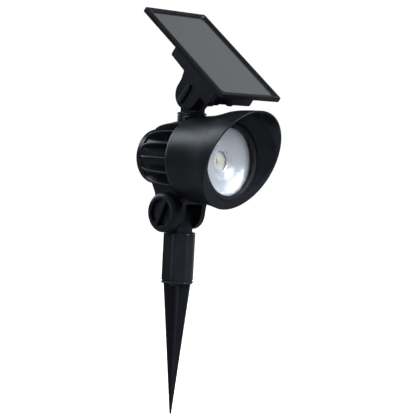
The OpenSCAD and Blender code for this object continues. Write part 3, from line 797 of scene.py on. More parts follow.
def build_rear_housing():
    """The finned rear half of the lamp, with its yoke and the seat for the swivel."""
    size = bpy.context.scene.spot_sizes
    profile = fillet([(0, CAP_BACK), (CAP_R, CAP_BACK, 4.2), (CAP_R, CAP_BACK + 7.2, 0.5),
                      (CORE_R, CAP_BACK + 8.0, 0.8), (CORE_R, FLANGE_BACK, 0.6),
                      (SHELL_IN_R - 0.1, FLANGE_BACK), (SHELL_IN_R - 0.1, 14), (20.5, 14), (20.5, -33.5),
                      (0, -33.5)], 6)
    core = turned(lathe("rear_housing_casting", profile, 160), AT_HEAD)
    ribs = copied("ribs", copies_tree("ribs_in_a_ring", True), carrier_of("carrier", [(0, 0, 0)]),
                  finish_of("shell"), Piece=rib_mesh(), Count=size.rib_count, Ring_radius=0.0,
                  First_angle=0.0)
    turned(ribs, AT_HEAD)
    outline = fillet([(24.5, HEAD_Z - 19), (17.8, HINGE_Z + 16, 4), (15, HINGE_Z, 0)]
                     + arc(0, HINGE_Z, YOKE_R, -4, -176, 32)
                     + [(-15, HINGE_Z, 0), (-16.4, HINGE_Z + 8, 4), (-19.5, HINGE_Z + 11.8, 4),
                         (-19.5, HEAD_Z - 19)])
    yoke = turned(prism("yoke", outline, -YOKE_HALF, YOKE_HALF), SIDEWAYS)
    gap = fillet([(-SLOT_HALF, HINGE_Z - 17), (SLOT_HALF, HINGE_Z - 17), (SLOT_HALF, HINGE_Z + 8, 2),
                  (-SLOT_HALF, HINGE_Z + 8, 2)])
    slot_cut = prism("slot", gap, -40, 40)
    slot_cut.data.transform(Matrix.Rotation(math.pi / 2, 4, "X"))
    combine(yoke, [slot_cut])
    soften(yoke, 1.3, 4, 40)
    bore = turned(lathe("bore", [(0, -17), (HINGE_BOLT_R + RUN_GAP, -17), (HINGE_BOLT_R + RUN_GAP, 17),
        (0, 17)], 48), AT_HINGE)
    pocket = turned(prism("pocket", hexagon(10.2), -17, -YOKE_HALF + 3.4), AT_HINGE)
    envelope = turned(lathe("envelope", [(0, RIM_FWD - 0.6), (SHELL_R + 0.5, RIM_FWD - 0.6),
                                         (SHELL_R + 0.5, 60), (0, 60)], 128), AT_HEAD)
    combine(yoke, [bore, pocket, envelope])
    seat_top = SWIVEL.z - 0.05
    seat = turned(lathe("seat", fillet([(0, HEAD_Z + 18), (12.6, HEAD_Z + 18), (12.6, seat_top, 1.0),
                                        (0, seat_top)], 4), 96), AT_SWIVEL)
    envelope = turned(lathe("envelope", [(0, RIM_FWD - 0.6), (SHELL_R + 0.5, RIM_FWD - 0.6),
                                         (SHELL_R + 0.5, 60), (0, 60)], 128), AT_HEAD)
    combine(seat, [envelope])
    joined(core, [ribs, yoke, seat])
    finished(core, UNMOVED, "lamp_head", ["rear_housing"], finish_of("shell"))


def hexagon(across):
    corner = across / math.sqrt(3)
    turns = [math.radians(30 + 60 * k) for k in range(6)]
    return [(corner * math.cos(a), corner * math.sin(a)) for a in turns]


def cut_height(radius, sin_a):
    """How far forward the leaning rim lies, at a radius and a direction round the axis."""
    return HOOD_TOP + math.tan(HOOD_LEAN) * (radius * sin_a - HOOD_R)


def along(curve, limit_of, count):
    """Points evenly along an open curve, up to where it meets the leaning rim."""
    dense = []
    for (r0, z0), (r1, z1) in zip(curve, curve[1:]):
        for k in range(12):
            t = k / 12
            dense.append((r0 + (r1 - r0) * t, z0 + (z1 - z0) * t))
    dense.append(curve[-1])
    kept = [dense[0]]
    for point in dense[1:]:
        if point[1] <= limit_of(point[0]):
            kept.append(point)
            continue
        low, high = kept[-1], point
        for _ in range(24):
            mid = ((low[0] + high[0]) / 2, (low[1] + high[1]) / 2)
            if mid[1] <= limit_of(mid[0]):
                low = mid
            else:
                high = mid
        kept.append(low)
        break
    lengths = [0]
    for a, b in zip(kept, kept[1:]):
        lengths.append(lengths[-1] + math.dist(a, b))
    total = max(lengths[-1], 1e-4)
    out, at = [], 0
    for k in range(count + 1):
        want = total * k / count
        while at < len(kept) - 2 and lengths[at + 1] < want:
            at += 1
        span = max(lengths[at + 1] - lengths[at], 1e-9) if len(kept) > 1 else 1
        t = min(1, max(0, (want - lengths[at]) / span))
        a, b = kept[at], kept[min(at + 1, len(kept) - 1)]
        out.append((a[0] + (b[0] - a[0]) * t, a[1] + (b[1] - a[1]) * t))
    return out


def smooth_curve(points, steps=10):
    """A Catmull-Rom curve through points."""
    padded = [points[0]] + list(points) + [points[-1]]
    out = []
    for p0, p1, p2, p3 in zip(padded, padded[1:], padded[2:], padded[3:]):
        for k in range(steps):
            t = k / steps
            out.append(tuple(0.5 * (2 * b + (c - a) * t + (2 * a - 5 * b + 4 * c - d) * t * t
                                    + (3 * b - a - 3 * c + d) * t**3) for a, b, c, d in zip(p0, p1, p2, p3)))
    out.append(points[-1])
    return out


def build_front_shell():
    """The shell and its leaning hood, one continuous wall with a rounded rim."""
    size = bpy.context.scene.spot_sizes
    outer = smooth_curve([(SHELL_R + 0.04, RIM_FWD + size.shoulder + 0.6), (SHELL_R + 0.6, 24),
        (SHELL_R + 1.6, 38), (SHELL_R + 3.8, 50),
                          (SHELL_R + 6, 59), (HOOD_R - 0.5, 66), (HOOD_R - 0.1, 75), (HOOD_R, 90)])
    inner = smooth_curve([(RING_R, LENS_FWD + RING_T), (RING_R + 4.6, LENS_FWD + 9), (HOOD_IN_R - 1, 69),
                          (HOOD_IN_R, 75), (HOOD_IN_R, 93)])
    columns = 224
    loops = []
    for k in range(columns):
        a = math.tau * k / columns
        up = math.sin(a)

        def limit(radius, up=up):
            return cut_height(radius, up)

        wall_out = along(outer, limit, 46)
        wall_in = along(inner, limit, 30)
        if limit(RING_R) < LENS_FWD + RING_T:
            wall_in = [(RING_R, max(limit(RING_R), LENS_FWD + 0.05))] * 31
        lip = fillet([(wall_out[-2][0], wall_out[-2][1]), (*wall_out[-1], size.rim_round),
                      (*wall_in[-1], size.rim_round * 0.8), (wall_in[-2][0], wall_in[-2][1])], 5)[1:-1]
        rear = [(SHELL_IN_R, RIM_FWD + 0.3)]
        rear += [(SHELL_IN_R + 0.3 + (SHELL_R - SHELL_IN_R - 0.3) * math.sin(t),
                  RIM_FWD + size.shoulder * (1 - math.cos(t))) for t in (math.pi / 20 * j for j in range(11))]
        profile = [(SHELL_IN_R, SEAT_FRONT - 2.5)] + rear + wall_out[:-1] + lip + wall_in[:-1][::-1]
        profile += [(RING_R, LENS_FWD), (POCKET_R + 0.1, LENS_FWD), (POCKET_R + 0.1, SEAT_FRONT),
                    (LENS_R + 1.6, SEAT_FRONT), (LENS_R + 1.6, SEAT_FRONT - 2.5)]
        loops.append([(r * math.cos(a), r * math.sin(a), z) for r, z in profile])
    verts = [p for loop in loops for p in loop]
    rows = len(loops[0])
    faces = []
    for k in range(columns):
        n = (k + 1) % columns
        for j in range(rows):
            m = (j + 1) % rows
            faces.append((k * rows + j, n * rows + j, n * rows + m, k * rows + m))
    shell = new_piece("front_shell_hood", verts, faces)
    finished(shell, AT_HEAD, "lamp_head", ["front_shell"], finish_of("shell"), 50)


def build_optics():
    """Reflector, emitter, lens and its ring."""
    lip = SEAT_FRONT + 1
    base = REFLECTOR_BACK
    cone = smooth_curve([(16, base + 4.6), (21, base + 5.6), (26, base + 7.2), (LENS_R - 0.4, lip)], 8)
    back = [(LENS_R + 0.4, SEAT_FRONT - 0.4), (26.4, base + 5.9), (21.3, base + 4.3), (16.5, base + 3.3)]
    bowl = lathe("reflector_bowl", fillet([(8.55, base + 1.4), (8.55, base + 2.6, 0.3),
        (9.4, base + 2.9, 0.2),
                                           (9.7, base + 3.3, 0.2), (10.3, base + 3.2, 0.2)], 3) + cone
                 + [(POCKET_R, lip), (POCKET_R, SEAT_FRONT), (LENS_R + 1.4, SEAT_FRONT)] + back, 160)
    finished(bowl, AT_HEAD, "lamp_head", ["reflector"], finish_of("mirror"), 30)

    disc = lathe("lens_disc", fillet([(0, LENS_FWD - 2), (POCKET_R, LENS_FWD - 2, 0.25),
        (POCKET_R, LENS_FWD, 0.25),
                                      (0, LENS_FWD)], 3), 128)
    finished(disc, AT_HEAD, "lamp_head", ["lens"], finish_of("clear"), 30)

    ring = lathe("lens_ring_bezel", fillet([(LENS_R, LENS_FWD + 0.02, 0.1), (LENS_R, LENS_FWD + 1.4, 0.3),
                                            (LENS_R + 0.9, LENS_FWD + RING_T - 0.2, 0.4),
                                            (RING_R - 0.9, LENS_FWD + RING_T, 0.4),
                                            (RING_R - 0.02, LENS_FWD + RING_T - 0.6, 0.3),
                                            (RING_R - 0.02, LENS_FWD + 0.02, 0.1)], 4), 160)
    finished(ring, AT_HEAD, "lamp_head", ["lens_ring"], finish_of("ring"), 30)

    board_z = box_mm("led_board")[0].y * -1
    chip = prism("led_chip_body", fillet([(-2.5, -2.5, 0.3), (2.5, -2.5, 0.3), (2.5, 2.5, 0.3),
        (-2.5, 2.5, 0.3)], 3),
                 board_z, board_z + 0.9, 0.12)
    dome = lathe("dome", [(0, board_z + 0.5), (1.95, board_z + 0.5), (1.95, board_z + 0.95),
        (1.7, board_z + 1.22),
                          (1.1, board_z + 1.36), (0, board_z + 1.4)], 40)
    joined(chip, [dome])
    finished(chip, AT_HEAD, "lamp_head", ["led_emitter"], finish_of("phosphor"), 30)


# ---------------------------------------------------------------- hinges
def build_hinge_knob():
    """The lower knob: a domed rim round two deep crescents, and a leaning grip bar between them."""
    size = bpy.context.scene.spot_sizes
    base, thick, radius, well = 16.8, 9.5, 17.4, 11.5
    top = base + thick
    profile = fillet([(0, base), (radius - 0.4, base, 0.5), (radius, base + 0.6, 0.4),
        (radius, base + 6.2, 1.6),
                      (radius - 1.6, base + 8.0, 1.6), (well + 2.6, top - 0.15, 1.2), (well + 0.6, top, 0.6),
                      (well, top - 1.0, 0.4), (well - 0.8, top - 4.6, 0.8), (0, top - 5)], 6)
    knob = lathe("hinge_knob_grip", profile, 144)
    half, wide = well + 1.2, size.grip_width / 2
    bar = prism("bar", fillet([(-half, -wide, 0.9), (half, -wide, 0.9), (half, wide, 0.9),
        (-half, wide, 0.9)], 4),
                base + 2, top + 0.55)
    soften(bar, 0.8, 4, 60)
    turned(bar, Matrix.Rotation(-math.radians(24), 4, "Z"))
    combine(knob, [bar], "UNION")
    combine(knob, [lathe("bore", [(0, base - 1), (3.0, base - 1), (3.0, base + 4), (0, base + 4)], 48)])
    finished(knob, AT_HINGE, "hinge_knob", ["hinge_knob"], finish_of("knob"))


def build_neck_knob():
    """The upper knob: a flush disc with one raised bar."""
    outer, radius = NECK_HALF, 11.4
    disc = lathe("neck_knob_grip", fillet([(0, outer - 3.6), (radius, outer - 3.6, 0.3),
        (radius, outer, 0.35),
                                           (0, outer)], 5), 112)
    bar_shape = arc(7.75, 0, 2.25, -90, 90, 12) + arc(-7.75, 0, 2.25, 90, 270, 12)
    bar = prism("bar", bar_shape, outer - 1, outer + 3.3)
    soften(bar, 0.9, 4, 60)
    combine(disc, [bar], "UNION")
    combine(disc, [lathe("bore", [(0, 15), (2.5, 15), (2.5, outer - 0.6), (0, outer - 0.6)], 48)])
    finished(disc, AT_NECK, "neck_knob", ["neck_knob"], finish_of("knob"))


def build_swivel():
    """The swivel's flange, stem and tongue."""
    flange = SWIVEL.z
    y, ny, nz = SWIVEL.y, NECK.y, NECK.z
    post = turned(lathe("swivel_post_casting",
        fillet([(0, flange), (FLANGE_R, flange, 0.3), (FLANGE_R, flange + 1.2, 0.4),
                                                       (11.4, flange + 1.9, 0.6), (0, flange + 1.9)], 4),
                                                       112), AT_SWIVEL)
    stem = turned(lathe("stem", [(1.7, HEAD_Z + 22), (5, HEAD_Z + 22), (5, flange + 0.5),
        (1.7, flange + 0.5)], 64),
                  AT_SWIVEL)
    outline = fillet([(y + 8.8, flange + 0.4), (y + 8.8, flange + 5.5, 2), (ny + 7.2, nz + 5.4, 0)]
                     + arc(ny, nz, TONGUE_R, 37, 206, 28)
                     + [(y - 10, flange + 5, 3), (y - 10, flange + 0.4)])
    tongue = turned(prism("tongue", outline, -TONGUE_HALF, TONGUE_HALF), SIDEWAYS)
    soften(tongue, 0.9, 4, 40)
    combine(post, [tongue, stem], "UNION")
    bore = turned(lathe("bore", [(0, -7), (NECK_BOLT_R + RUN_GAP, -7), (NECK_BOLT_R + RUN_GAP, 7), (0, 7)],
        48),
                  Matrix.Translation(NECK) @ KNOB_TURN)
    combine(post, [bore])
    finished(post, UNMOVED, "swivel", ["swivel_post"], finish_of("shell"))


def bolt_mesh(name, radius, low, high):
    """A plain bolt along Z with a threaded, chamfered end at its low end."""
    profile = [(0, low), (radius * 0.75, low), (radius * 0.92, low + 0.5)]
    z = low + 0.8
    while z < low + 7:
        profile += [(radius, z), (radius * 0.88, z + 0.3), (radius, z + 0.6)]
        z += 0.75
    profile += [(radius, high), (0, high)]
    return lathe(name, profile, 40)


def build_fasteners():
    """Bolts, nuts and every set of screws."""
    steel = finish_of("steel")
    finished(bolt_mesh("hinge_bolt_steel", HINGE_BOLT_R, -18.1, 20.8), AT_HINGE, "hinge_knob",
        ["hinge_bolt"], steel)
    finished(bolt_mesh("neck_bolt_steel", NECK_BOLT_R, -14.35, 19.4), AT_NECK, "neck_knob", ["neck_bolt"],
        steel)
    nut = turned(hex_nut("hinge_nut_steel", 10, HINGE_BOLT_R + RUN_GAP, 5),
        Matrix.Translation((0, 0, -17.1)) @ Matrix.Rotation(math.radians(30), 4, "Z"))
    finished(nut, AT_HINGE, "lamp_head", ["hinge_nut"], steel)
    nut = turned(hex_nut("neck_nut_steel", 8, NECK_BOLT_R + RUN_GAP, 4),
        Matrix.Translation((0, 0, -13.35)) @ Matrix.Rotation(math.radians(30), 4, "Z"))
    finished(nut, AT_NECK, "panel", ["neck_nut"], steel)

    ring_tree = copies_tree("screws_in_a_ring", True)
    flip = Matrix.Rotation(math.pi, 4, "X")
    sets = [
        ("shell_screw_set", "shell_screws", SCREW_R, SCREW_HEAD_R, 12, 1.6, 4, 28.1, 45, 11.8, UNMOVED),
        ("heat_sink_screw_set", "heat_sink_screws", SCREW_R, 2.3, 4.2, 1.6, 3, 22.6, 30, 16.0, flip),
        ("led_board_screw_set", "led_board_screws", 1.0, 1.9, 4, 1.2, 2, 9.5, 0, None, flip),
    ]
    for name, node, shank, head, long, head_t, count, ring, first, at, way in sets:
        if at is None:
            at = -box_mm("led_board")[0].y
        screw = turned(pan_screw("screw", shank, head, long, head_t), way)
        made = copied(name, ring_tree, carrier_of(name, [(0, 0, 0)]), steel, Piece=screw, Count=count,
                      Ring_radius=float(ring), First_angle=math.radians(first))
        finished(made, AT_HEAD @ Matrix.Translation((0, 0, at)), "lamp_head", [node], steel)

    inset = BOX_WALL + 2.3
    spots = [(s * (box_half(y) - inset), y, BOX_BOTTOM + 3) for y in (BOX_FRONT + inset,
        BOX_FRONT + BOX_LEN - inset)
             for s in (-1, 1)]
    screw = pan_screw("screw", SCREW_R, SCREW_HEAD_R, 14.6, 1.6)
    made = copied("housing_screw_set", copies_tree("screws_on_points", False), carrier_of("corners", spots),
        steel,
                  Piece=screw)
    finished(made, AT_PANEL, "panel", ["housing_screws"], steel)


# ---------------------------------------------------------------- panel
def box_half(y):
    return BOX_W / 2 + (BOX_END_W - BOX_W) / 2 * (y - BOX_FRONT) / BOX_LEN


def box_outline(inset=0.0):
    """The tapering box seen from above, its corners cut and rounded."""
    cut, front, rear = 3.0, BOX_FRONT + inset, BOX_FRONT + BOX_LEN - inset
    half = [(front, cut), (front + cut, 0), (rear - cut, 0), (rear, cut)]
    right = [(box_half(y) - inset - c, y, 1.4) for y, c in half]
    return fillet(right + [(-x, y, r) for x, y, r in right[::-1]], 5)


def build_panel_back():
    """The box under the panel with the plinth and both ears of the neck."""
    rims = [(BOX_BOTTOM, 1.4), (BOX_BOTTOM + 0.2, 0.7), (BOX_BOTTOM + 0.6, 0.25), (BOX_BOTTOM + 1.3, 0.0),
            (FRAME_Z - 0.25, 0.0), (FRAME_Z, 0.15)]
    box = loft("panel_back_box", [[(x, y, z) for x, y in box_outline(inset)] for z, inset in rims])
    cavity = loft("cavity", [[(x, y, z) for x, y in box_outline(BOX_WALL)] for z in (BOX_BOTTOM + BOX_WALL,
        FRAME_Z + 1)])
    top = BOX_BOTTOM + 1.4
    ear = fillet([(-25.4, top), (-25.4, PLINTH_Z, 1.6), (-14.2, PLINTH_Z, 3.0)] + arc(0, 0, EAR_R, 196, 360,
        40)
                 + [(13.6, 6, 4), (15.6, 12.5, 3), (18.5, top)], 5)
    far = fillet([(-25.4, top), (-25.4, PLINTH_Z, 1.6), (-9.8, PLINTH_Z, 3.0)] + arc(0, 0, SMALL_EAR_R, 200,
        360, 32)
                 + [(9.6, 6, 4), (13.7, 9.5, 2), (13.7, top)], 5)
    bridge = fillet([(-25.4, top), (-25.4, PLINTH_Z, 1.6), (13.7, PLINTH_Z, 1.6), (13.7, top)], 5)
    parts = []
    for outline, low, high, edge in ((ear, -NECK_HALF, -NECK_IN, 1.4), (bridge, -NECK_IN - 1, SMALL_OUT, 0.8),
                                     (far, NECK_IN, SMALL_OUT, 0.9)):
        plate = turned(prism("plate", outline, low, high), SIDEWAYS)
        parts.append(soften(plate, edge, 5, 60))
    combine(box, parts, "UNION")
    notch = prism("notch", [(-NECK_IN, -60), (NECK_IN, -60), (NECK_IN, 60), (-NECK_IN, 60)], -40, 10.2)
    holes = []
    for radius, low, high in ((NECK_BOLT_R + RUN_GAP, -13.2, 21), (11.5, 15.8, 21)):
        holes.append(turned(lathe("hole", [(0, low), (radius, low), (radius, high), (0, high)], 96),
            KNOB_TURN))
    holes.append(turned(prism("pocket", hexagon(8.2), -13.2, -9.35), KNOB_TURN))
    inset = BOX_WALL + 2.3
    for y in (BOX_FRONT + inset, BOX_FRONT + BOX_LEN - inset):
        for s in (-1, 1):
            hole = lathe("hole", [(0, BOX_BOTTOM - 1), (2.9, BOX_BOTTOM - 1), (2.9, BOX_BOTTOM + 3),
                (1.5, BOX_BOTTOM + 3),
                                  (1.5, FRAME_Z + 1), (0, FRAME_Z + 1)], 40)
            bosses = lathe("boss", [(0, BOX_BOTTOM + 0.5), (3.3, BOX_BOTTOM + 0.5), (3.3, FRAME_Z),
                (0, FRAME_Z)], 40)
            spot = Matrix.Translation((s * (box_half(y) - inset), y, 0))
            holes.append(turned(hole, spot))
            cavity = combine(cavity, [turned(bosses, spot)])
    button = box_mm("switch_button")
    centre = AT_PANEL.inverted() @ ((button[0] + button[1]) / 2)
    hole = lathe("hole", [(0, BOX_BOTTOM - 1), (2.95, BOX_BOTTOM - 1), (2.95, BOX_BOTTOM + 3),
        (0, BOX_BOTTOM + 3)], 48)
    holes.append(turned(hole, Matrix.Translation((centre.x, centre.y, 0))))
    combine(box, [cavity, notch] + holes)
    finished(box, AT_PANEL, "panel", ["back_housing"], finish_of("shell"))

    cap = lathe("switch_button_cap", fillet([(0, BOX_BOTTOM - BUTTON_OUT),
        (BUTTON_R, BOX_BOTTOM - BUTTON_OUT, 0.9),
                                             (BUTTON_R, BOX_BOTTOM + 3.8, 0.2), (0, BOX_BOTTOM + 3.8)], 5),
                                             48)
    turned(cap, Matrix.Translation((centre.x, centre.y, 0)))
    finished(cap, AT_PANEL, "switch_button", ["switch_button"], finish_of("rubber"))


def rounded(width, length, radius, z, steps=8):
    """A loop round a rectangle with rounded corners."""
    out = []
    for x, y, first in ((1, 1, 0), (-1, 1, 90), (-1, -1, 180), (1, -1, 270)):
        out += arc(x * (width / 2 - radius), y * (length / 2 - radius), radius, first, first + 90, steps)
    return [(x, y + PANEL_MID, z) for x, y in out]


def build_panel_face():
    """The panel's tray with its raised border, the cells and the pane over them."""
    top = FRAME_Z + FRAME_T
    rims = [(0.9, 0.9, FRAME_Z), (0.25, 1.3, FRAME_Z + 0.3), (0.0, 1.6, FRAME_Z + 0.9), (0.0, 1.6, top - 0.9),
            (0.1, 1.6, top - 0.5), (0.32, 1.5, top - 0.16), (0.75, 1.4, top), (2.6, 2.6, top),
            (2.95, 3.2, top - 0.1),
            (3.1, 3.5, top - 0.45), (3.25, 3.8, top - 0.62), (3.9, 4.4, top - 0.7), (4.15, 4.7, top - 0.8),
            (4.35, 4.9, top - 1.1), (BORDER, 5.0, top - 1.9), (BORDER, 5.0, FRAME_Z + FLOOR_T)]
    tray = loft("panel_tray", [rounded(PANEL_W - 2 * inset, PANEL_L - 2 * inset, max(radius, 0.5), z)
                               for inset, radius, z in rims])
    finished(tray, AT_PANEL, "panel", ["panel_frame"], finish_of("tray"), 30)
    low = FRAME_Z + FLOOR_T
    inner_w, inner_l = PANEL_W - 2 * BORDER, PANEL_L - 2 * BORDER
    cells = loft("cell_sheet", [rounded(inner_w - 1, inner_l - 1, 4.5, low + 0.02),
                                rounded(inner_w - 1, inner_l - 1, 4.5, low + CELL_T - 0.02)])
    finished(cells, AT_PANEL, "panel", ["solar_cells"], finish_of("silicon"), 30)
    pane_top = top - GLASS_DROP
    pane = loft("panel_pane_glass", [rounded(inner_w - 0.05, inner_l - 0.05, 5, low + CELL_T),
                                     rounded(inner_w - 0.05, inner_l - 0.05, 5, pane_top - 0.25),
                                     rounded(inner_w - 0.5, inner_l - 0.5, 4.8, pane_top)])
    finished(pane, AT_PANEL, "panel", ["panel_glass"], finish_of("pane"), 30)


# ---------------------------------------------------------------- inner parts
CARRIED = {
    "heat_sink": "aluminium", "led_board": "white_board", "lens_gasket": "rubber", "swivel_washer": "steel",
    "swivel_screw": "steel", "housing_seal": "rubber", "battery_holder": "holder", "battery": "wrap",
    "battery_spring": "steel", "battery_contact": "steel", "circuit_board": "green_board",
    "circuit_parts": "part_black", "switch_body": "part_black",
}


def finish_inner_parts():
    """Gives the parts that stay as the frame has them their finishes."""
    for node, finish in CARRIED.items():
        part = frame["nodes"][node]
        part.data.materials.clear()
        part.data.materials.append(finish_of(finish))


# ---------------------------------------------------------------- studio
def look_at(obj, place, target):
    obj.location = place
    obj.rotation_mode = "QUATERNION"
    obj.rotation_quaternion = (Vector(target) - Vector(place)).to_track_quat("-Z", "Y")


def soft_light(name, place, target, size, power, colour=(0.9, 0.95, 1.0)):
    data = bpy.data.lights.new(name, "AREA")
    data.shape = "RECTANGLE"
    data.size, data.size_y = size
    data.energy = power
    data.color = colour
    lamp = bpy.data.objects.new(name, data)
    bpy.context.scene.collection.objects.link(lamp)
    lamp.visible_camera = False
    look_at(lamp, place, target)


def build_stage():
    """Floor, camera, soft boxes and the pale surround."""
    studio = bpy.context.scene.spot_studio
    scene = bpy.context.scene
    floor_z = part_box("ground_spike")[0].z
    mesh = bpy.data.meshes.new("studio_floor")
    reach, rise, steps = 9.0, 5.0, 16
    verts, faces = [], []
    rings = [(0.0, 0.0)] + [(reach * k / 4, 0.0) for k in range(1, 5)]
    rings += [(reach + rise * math.sin(a), rise * (1 - math.cos(a))) for a in
              (math.pi / 2 * k / steps for k in range(1, steps + 1))]
    around = 64
    for radius, height in rings[1:]:
        for k in range(around):
            a = math.tau * k / around
            verts.append((radius * math.cos(a), radius * math.sin(a), floor_z + height))
    verts.append((0, 0, floor_z))
    hub = len(verts) - 1
    for k in range(around):
        faces.append((hub, k, (k + 1) % around))
    for i in range(len(rings) - 2):
        for k in range(around):
            n = (k + 1) % around
            faces.append((i * around + k, (i + 1) * around + k, (i + 1) * around + n, i * around + n))
    mesh.from_pydata(verts, [], faces)
    mesh.shade_smooth()
    floor = bpy.data.objects.new("studio_floor", mesh)
    scene.collection.objects.link(floor)
    paper, shader, nodes, links = surface("studio_paper", Roughness=0.9)
    where = nodes.new("ShaderNodeTexCoord")
    mottle = nodes.new("ShaderNodeTexNoise")
    mottle.inputs["Scale"].default_value = 3
    links.new(where.outputs["Object"], mottle.inputs["Vector"])
    tone = blend_colours(nodes, links, mottle.outputs["Fac"], list(studio.floor),
        [c * 0.985 for c in studio.floor])
    seen = nodes.new("ShaderNodeLightPath")
    tone = blend_colours(nodes, links, seen.outputs["Is Camera Ray"], [studio.bounce] * 3, tone)
    links.new(tone, shader.inputs["Base Color"])
    shader.inputs["Specular IOR Level"].default_value = 0.0
    shader.inputs["Emission Color"].default_value = (1, 1, 1, 1)
    links.new(ranged(nodes, links, seen.outputs["Is Camera Ray"], studio.floor_glow, 1.0, 0, 1),
              shader.inputs["Emission Strength"])
    mesh.materials.append(paper)

    azimuth, elevation, roll = math.radians(-47.6), math.radians(3.25), math.radians(3.03)
    back = Vector((math.sin(azimuth) * math.cos(elevation), -math.cos(azimuth) * math.cos(elevation),
                   math.sin(elevation)))
    right = Vector((math.cos(azimuth), math.sin(azimuth), 0))
    up = back.cross(right)
    right, up = right * math.cos(roll) + up * math.sin(roll), up * math.cos(roll) - right * math.sin(roll)
    aim = right * 0.02909 + up * 0.06421
    data = bpy.data.cameras.new("studio_camera")
    data.lens, data.sensor_width = 125.06, 36
    data.clip_start, data.clip_end = 0.05, 60
    camera = bpy.data.objects.new("studio_camera", data)
    scene.collection.objects.link(camera)
    camera.matrix_world = Matrix.Translation(aim + back * 1.2868) @ Matrix((right, up,
        back)).transposed().to_4x4()
    scene.camera = camera

    target = (0, 0, 0.1)
    soft_light("key_box", (-0.48, 1.14, 1.02), target, (0.6, 0.6), studio.key)
    soft_light("back_box", (0.2, 1.45, 0.5), target, (0.6, 0.6), studio.back)
    soft_light("left_box", (-1.5, 0.2, 0.35), target, (1.0, 1.2), studio.left)
    soft_light("front_box", (0.3, -1.4, 0.95), target, (0.9, 0.9), studio.front)
    soft_light("right_box", (1.5, -0.1, 0.25), target, (0.4, 1.2), studio.right)
    soft_light("sky_box", Vector((0.737, 0.119, 0.665)) * 1.7 + Vector(target), target, (0.6, 0.6),
        studio.sky)
    world = bpy.data.worlds.new("studio_surround")
    world.use_nodes = True
    nodes, links = world.node_tree.nodes, world.node_tree.links
    backdrop = nodes["Background"]
    backdrop.inputs["Color"].default_value = (*studio.surround, 1)
    seen = nodes.new("ShaderNodeLightPath")
    strength = nodes.new("ShaderNodeMapRange")
    links.new(seen.outputs["Is Camera Ray"], strength.inputs["Value"])
    strength.inputs["To Min"].default_value = studio.surround_strength
    strength.inputs["To Max"].default_value = 1.0
    links.new(strength.outputs[0], backdrop.inputs["Strength"])
    scene.world = world
    scene.view_settings.view_transform = "Standard"


# ---------------------------------------------------------------- settings
class SpotSizes(bpy.types.PropertyGroup):
    """Sizes a user would change, in millimetres."""

    rib_count: IntProperty(name="Ribs", description="Number of cooling ribs round the lamp", default=16,
        min=4, max=32)
    rib_root: FloatProperty(name="Rib root", description="Rib thickness at its root, in millimetres",
        default=3.4)
    rib_crest: FloatProperty(name="Rib crest", description="Rib thickness at its crest, in millimetres",
        default=1.7)
    fin_edge: FloatProperty(name="Fin edge",
        description="Half thickness of a spike fin at its top, in millimetres",
                            default=1.5)
    rim_round: FloatProperty(name="Rim rounding", description="Rounding of the hood's rim, in millimetres",
        default=0.8)
    shoulder: FloatProperty(name="Shoulder", description="Rounding of the shell's rear rim, in millimetres",
        default=5.5)
    grip_width: FloatProperty(name="Grip width", description="Width of the knob's grip bar, in millimetres",
        default=4.5)


class SpotFinish(bpy.types.PropertyGroup):
    """Colours and the state of the surfaces."""

    shell: FloatVectorProperty(name="Shell", description="Colour of the shell, housing and sleeve",
        subtype="COLOR",
                               size=3, min=0, max=1, default=(0.011, 0.012, 0.016))
    knob: FloatVectorProperty(name="Knobs", description="Colour of the knobs", subtype="COLOR", size=3,
        min=0, max=1,
                              default=(0.010, 0.011, 0.014))
    spike: FloatVectorProperty(name="Spike", description="Colour of the ground spike", subtype="COLOR",
        size=3, min=0,
                               max=1, default=(0.007, 0.007, 0.009))
    tray: FloatVectorProperty(name="Tray", description="Colour of the panel's tray", subtype="COLOR",
        size=3, min=0,
                              max=1, default=(0.006, 0.006, 0.008))
    ring: FloatVectorProperty(name="Ring", description="Colour of the lens ring", subtype="COLOR", size=3,
        min=0, max=1,
                              default=(0.005, 0.005, 0.006))
    # the pane colour holds a painted reflection: it is lighter than the laminate so that diffuse light gives
    # the glass's gray
    pane: FloatVectorProperty(name="Pane", description="Colour of the panel under its glass",
        subtype="COLOR", size=3,
                              min=0, max=1, default=(0.05, 0.049, 0.05))
    mirror: FloatVectorProperty(name="Mirror", description="Colour of the reflector", subtype="COLOR",
        size=3, min=0,
                                max=1, default=(0.86, 0.89, 0.95))
    wear: FloatProperty(name="Wear", description="How far the edges are rubbed", subtype="FACTOR",
        default=0.3, min=0,
                        max=1)
    dust: FloatProperty(name="Dust", description="Dust on what faces up", subtype="FACTOR", default=0.05,
        min=0, max=1)


class SpotStudio(bpy.types.PropertyGroup):
    """Light and floor."""

    key: FloatProperty(name="Key light", description="Power of the key box", subtype="POWER", default=5)
    back: FloatProperty(name="Back light", description="Power of the box behind", subtype="POWER", default=3)
    left: FloatProperty(name="Left light", description="Power of the tall box on the left", subtype="POWER",
        default=6)
    front: FloatProperty(name="Front light", description="Power of the front box", subtype="POWER",
        default=38)
    right: FloatProperty(name="Right light", description="Power of the tall box on the right",
        subtype="POWER", default=3)
    sky: FloatProperty(name="Top light", description="Power of the box over the panel", subtype="POWER",
        default=0.36)
    floor: FloatVectorProperty(name="Floor", description="Colour of the floor", subtype="COLOR", size=3,
        min=0, max=1,
                               default=(0.9, 0.9, 0.9))
    bounce: FloatProperty(name="Floor bounce", description="How much light the floor throws back at the lamp",
                          default=0.15, min=0, max=1)
    floor_glow: FloatProperty(name="Floor glow",
        description="Light the floor gives off, as a light table does",
                              default=0.05, min=0)
    surround: FloatVectorProperty(name="Surround", description="Colour of the surround", subtype="COLOR",
        size=3, min=0,
                                  max=1, default=(1.0, 1.0, 1.0))
    surround_strength: FloatProperty(name="Surround light", description="Strength of the surround as light",
        default=0.05, min=0)


